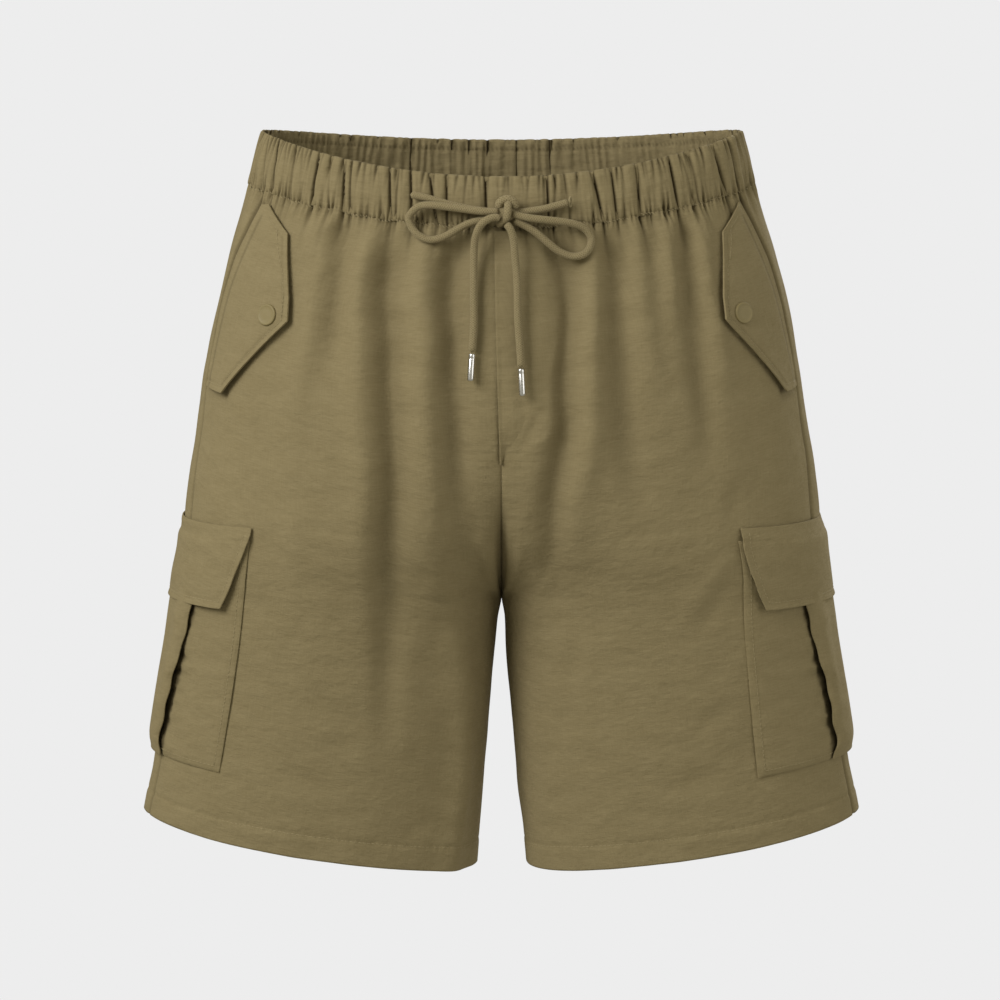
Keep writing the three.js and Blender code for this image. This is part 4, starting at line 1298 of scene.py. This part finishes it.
def side_frames(path):
    """Two directions square to the path at each of its points, carried along without twist."""
    ways = np.gradient(path, axis=0)
    ways /= np.linalg.norm(ways, axis=1, keepdims=True)
    side = np.cross(ways[0], (0.0, 0.0, 1.0))
    if np.linalg.norm(side) < 0.2:
        side = np.cross(ways[0], (0.0, 1.0, 0.0))
    sides = []
    for way in ways:
        side = side - way * np.dot(side, way)
        side = side / np.linalg.norm(side)
        sides.append(side)
    sides = np.array(sides)
    return sides, np.cross(ways, sides)


def tube(name, path, radius, finish, sides=24):
    """Round cord along a path, its ends drawn in to a point."""
    first, second = side_frames(path)
    walked = np.concatenate([[0], np.cumsum(np.linalg.norm(np.diff(path, axis=0), axis=1))])
    count = len(path) - 1

    def place(across, along):
        i = np.rint(along * count).astype(int)
        angle = 2 * math.pi * across
        from_end = np.minimum(walked[i], walked[-1] - walked[i])
        inside = np.clip(1 - from_end / (0.7 * radius), 0, 1)
        size = radius * np.sqrt(np.clip(1 - inside**2, 0, 1))
        out = first[i] * np.cos(angle)[:, None] + second[i] * np.sin(angle)[:, None]
        uv = np.stack([walked[i], across], -1)
        return path[i] + out * size[:, None], uv, 0.0, out

    piece = shaped_grid(name, sides, count, place, finish)
    close_seams(piece)
    return piece


def join_pieces(name, pieces):
    """One piece out of several that go together."""
    bm = bmesh.new()
    for piece in pieces:
        bm.from_mesh(piece.data)
    mesh = pieces[0].data
    bm.to_mesh(mesh)
    bm.free()
    for piece in pieces[1:]:
        bpy.data.objects.remove(piece)
    pieces[0].name = name
    mesh.name = name
    return pieces[0]


def make_knot(finish):
    """The bow's knot: its core, the strand that wraps it and the arch above it."""
    strands = []
    for name, route in knot_routes.items():
        strands.append(tube("knot_" + name, centripetal(route, 10), knot_radii[name], finish))
    radii = Vector(knot_core["radii"])

    def place(across, along):
        angle, tilt = 2 * math.pi * across, math.pi * along
        level = np.sin(tilt)
        out = np.stack([level * np.cos(angle), level * np.sin(angle), np.cos(tilt)], -1)
        uv = np.stack([across * 0.03, along], -1)
        return np.array(knot_core["at"]) + out * np.array(radii), uv, 0.0, out

    core = shaped_grid("knot_core", 32, 20, place, finish)
    close_seams(core)
    return hold(join_pieces("cord_knot_braid", [core, *strands]), "cord_knot")


def spun_piece(name, profile, finish, steps=32):
    """A turned piece: a profile of radius and height spun round the Z axis."""
    bm = bmesh.new()
    verts = [bm.verts.new((radius, 0, height)) for radius, height in profile]
    edges = [bm.edges.new(pair) for pair in zip(verts, verts[1:])]
    bmesh.ops.spin(
        bm, geom=verts + edges, cent=(0, 0, 0), axis=(0, 0, 1), angle=2 * math.pi, steps=steps, use_merge=True
    )
    bmesh.ops.remove_doubles(bm, verts=bm.verts, dist=1e-6)
    bmesh.ops.recalc_face_normals(bm, faces=bm.faces)
    mesh = bpy.data.meshes.new(name)
    bm.to_mesh(mesh)
    bm.free()
    return empty_piece(name, mesh, finish)


def stand_at(piece, point, up):
    """Moves a turned piece's mesh so that its axis stands at a point along a direction."""
    turned = Vector((0, 0, 1)).rotation_difference(Vector(up)).to_matrix().to_4x4()
    piece.data.transform(Matrix.Translation(Vector(point)) @ turned)


def make_tip(side, path, finish):
    """Metal tip, crimped near its top, that carries on from the end of a strand."""
    way = path[-1] - path[-2]
    way = way / np.linalg.norm(way)
    start = path[-1] + way * 0.0003
    r = TIP_RADIUS
    profile = [
        (0, 0),
        (r * 0.82, 0),
        (r * 0.95, 0.0004),
        (r, 0.0012),
        (r, 0.0030),
        (r * 0.93, 0.0034),
        (r, 0.0038),
        (r, TIP_LENGTH - 0.0014),
        (r * 0.93, TIP_LENGTH - 0.0005),
        (r * 0.78, TIP_LENGTH - 0.0001),
        (r * 0.66, TIP_LENGTH),
        (r * 0.6, TIP_LENGTH - 0.0010),
        (0, TIP_LENGTH - 0.0012),
    ]
    piece = spun_piece(f"cord_tip_{side}_metal", profile, finish)
    stand_at(piece, start, way)
    return hold(piece, f"cord_tip_{side}")


def make_cords(finishes):
    """The drawstring's strands, its knot and its tips."""
    knot = make_knot(finishes["cord"])
    for name, route in cord_routes.items():
        path = centripetal(route, 8)
        piece = hold(tube(name + "_braid", path, CORD_RADIUS, finishes["cord"]), name)
        ends_free = name.startswith("cord_end")
        goes_with = [make_tip(name.split("_")[-1], path, finishes["metal"])] if ends_free else [knot]


def make_eyelet(finish):
    """Small worked eyelet where the left lead goes into the casing."""
    centre = Vector(cord_routes["cord_lead_left"][0]) + Vector((0.0012, 0.0004, 0.0002))
    ring = [
        centre + Vector((0.0008 * math.cos(a), 0.0034 * math.cos(a) * 0.25, 0.0034 * math.sin(a)))
        for a in np.linspace(0, 2 * math.pi, 33)
    ]
    hold(tube("cord_eyelet_left", np.array(ring), 0.0006, finish, sides=8))


def make_snap(side, finish):
    """Covered snap: a low dished cap with a rolled rim."""
    leg = LEGS[side]
    r = hip_snap["radius"]
    profile = [
        (0, 0),
        (r - 0.0008, 0),
        (r, 0.0005),
        (r, 0.0014),
        (r - 0.0004, 0.0020),
        (r - 0.0010, 0.0022),
        (r - 0.0016, 0.0020),
        (r - 0.0022, 0.0018),
        (r * 0.4, 0.0020),
        (0, 0.0020),
    ]
    piece = spun_piece(f"hip_snap_{side}_cap", profile, finish, steps=48)
    turn, drop = np.array([math.radians(hip_snap[side])]), np.array([hip_snap["drop"]])
    lift = HIP_FLAP_LIFT + HIP_FLAP_WALL + 0.0012
    point = cloth_point(leg, turn, drop, np.array([lift]))[0]
    stand_at(piece, point, base_normal(leg, turn, drop)[0])
    return hold(piece, f"hip_snap_{side}")


def sewing_path(path, outward, pitch, radius, slant):
    """Path of a thread that shows at each stitch and dips into the cloth between stitches."""
    walked = np.concatenate([[0], np.cumsum(np.linalg.norm(np.diff(path, axis=0), axis=1))])
    count = int(walked[-1] / pitch)
    marks = (np.arange(count)[:, None] + np.array([0.05, 0.2, 0.5, 0.8, 0.95])).ravel() * pitch
    points = np.stack([np.interp(marks, walked, path[:, k]) for k in range(3)], -1)
    out = np.stack([np.interp(marks, walked, outward[:, k]) for k in range(3)], -1)
    lift = np.tile([-3.0, 0.3, 0.75, 0.3, -3.0], count) * radius
    lean = np.tile([-1, -1, 0, 1, 1], count) * slant
    beside = np.cross(np.gradient(points, axis=0), out)
    beside /= np.linalg.norm(beside, axis=1, keepdims=True)
    return points + out * lift[:, None] + beside * lean[:, None]


def make_sewing(name, line, finish, pitch=0.0033, radius=0.00027, slant=0.0):
    """The stitches along a line, which is a path and the way out along it."""
    path = sewing_path(*line, pitch, radius, slant)
    return hold(tube(name, path, radius, finish, sides=5))


def hem_line(leg):
    """The hem's stitch line round a leg."""
    drop = np.full(500, HEM_DROP - HEM_TURNED)
    inner = inner_turn(drop)
    turn = np.linspace(-1, 1, 500) * inner * 0.9999
    rise, _ = panel_rise(leg, turn, drop)
    out = base_normal(leg, turn, drop)
    return base_point(leg, turn, drop) + out * rise[:, None], out


def patch_line(leg, spot, across, along):
    """A stitch line on a patch, through places across and along it."""
    count = 400
    t = np.linspace(0, len(across) - 1, count)
    s = np.interp(t, np.arange(len(across)), across)
    u = np.interp(t, np.arange(len(along)), along)
    turn, drop, out, *_ = spot(s, u)
    return cloth_point(leg, turn, drop, out), base_normal(leg, turn, drop)


def seam_stitches(finish):
    """Small slanting stitches over the waist seam, all round."""
    turn = np.linspace(0, 2 * math.pi, 1400)
    pressed, _ = gathering(turn, 0.0)
    out = 0.0002 - GATHER_DEPTH * pressed * 0.7
    path = band_point(turn, 0.01, out)
    path[:, 2] += seam_sway(turn)
    outward = np.stack([np.cos(turn), -np.sin(turn), 0 * turn], -1)
    make_sewing("waist_seam_stitches", (path, outward), finish, pitch=0.0027, radius=0.00032, slant=0.0006)


def make_all_sewing(finish):
    seam_stitches(finish)
    for side, leg in LEGS.items():
        make_sewing(f"hem_stitches_{side}", hem_line(leg), finish)
        across = [0.60, 0.746, 0.922, 0.935, 0.935, 0.892, 0.825, 0.06]
        along = [0.09, 0.167, 0.333, 0.5, 0.667, 0.833, 0.973, 0.973]
        flap = patch_line(leg, hip_flap_spot(side), across, along)
        make_sewing(f"hip_flap_stitches_{side}", flap, finish)
        gusset = cargo_rows_spot(side, gusset_rows, gusset_out)
        edge = patch_line(leg, gusset, [0.022, 0.022, 0.978, 0.978], [0, 0.974, 0.974, 0])
        make_sewing(f"cargo_stitches_{side}", edge, finish)
        top = cargo_rows_spot(side, flap_rows, flap_out)
        flaps = patch_line(leg, top, [0.023, 0.023, 0.977, 0.977], [0.04, 0.918, 0.918, 0.04])
        make_sewing(f"cargo_flap_stitches_{side}", flaps, finish)


def make_world():
    """Pale backdrop to the camera, and a softer, slightly warm light to everything else."""
    world = bpy.data.worlds.new("studio")
    world.use_nodes = True
    bpy.context.scene.world = world
    tree = world.node_tree
    room = tree.nodes["Background"]
    room.inputs["Color"].default_value = ROOM_LIGHT
    room.inputs["Strength"].default_value = ROOM_STRENGTH
    backdrop = tree.nodes.new("ShaderNodeBackground")
    backdrop.inputs["Color"].default_value = BACKDROP
    rays = tree.nodes.new("ShaderNodeLightPath")
    either = tree.nodes.new("ShaderNodeMixShader")
    tree.links.new(rays.outputs["Is Camera Ray"], either.inputs[0])
    tree.links.new(room.outputs[0], either.inputs[1])
    tree.links.new(backdrop.outputs[0], either.inputs[2])
    tree.links.new(either.outputs[0], tree.nodes["World Output"].inputs["Surface"])


def make_floor():
    """Plain pale floor, far below, with the backdrop's own tone."""
    bm = bmesh.new()
    bmesh.ops.create_grid(bm, x_segments=1, y_segments=1, size=FLOOR_SIZE)
    bmesh.ops.translate(bm, verts=bm.verts, vec=(0, 0, FLOOR_Z))
    mesh = bpy.data.meshes.new("floor")
    bm.to_mesh(mesh)
    bm.free()
    finish = Finish("pale_floor")
    finish.surface(
        Base_Color=(0, 0, 0, 1),
        Roughness=1.0,
        Specular_IOR_Level=0.0,
        Emission_Color=BACKDROP,
        Emission_Strength=1.0,
    )
    floor = empty_piece("floor", mesh, finish.material)
    floor.visible_diffuse = False
    floor.visible_glossy = False


def make_light(name, place, power, size):
    """Soft lamp that looks at the middle of the shorts."""
    data = bpy.data.lights.new(name, "AREA")
    data.energy = power
    data.size = size
    lamp = bpy.data.objects.new(name, data)
    lamp.location = place
    lamp.rotation_euler = (CAMERA_TARGET - Vector(place)).to_track_quat("-Z", "Y").to_euler()
    bpy.context.scene.collection.objects.link(lamp)


def make_lights():
    make_light("key", (-1.75, -1.5, 1.15), 63, 1.3)
    make_light("fill", (1.9, -1.1, 0.2), 14, 1.6)
    make_light("back", (1.3, 2.2, 1.0), 38, 1.4)


make_camera()
finishes = make_finishes()
make_cords(finishes)
for face_name in FACES:
    for side_name in LEGS:
        make_panel(side_name, face_name, finishes["cloth"])
make_waistband(finishes["cloth"])
for side_name in LEGS:
    make_hip_flap(side_name, finishes["cloth"])
    make_snap(side_name, finishes["snap"])
    for part_name in ("gusset", "face", "flap"):
        make_cargo_part(side_name, part_name, finishes["cloth"])
make_fly(finishes["cloth"])
make_eyelet(finishes["thread"])
make_all_sewing(finishes["thread"])
make_world()
make_floor()
make_lights()
bpy.context.scene.view_settings.view_transform = "Standard"
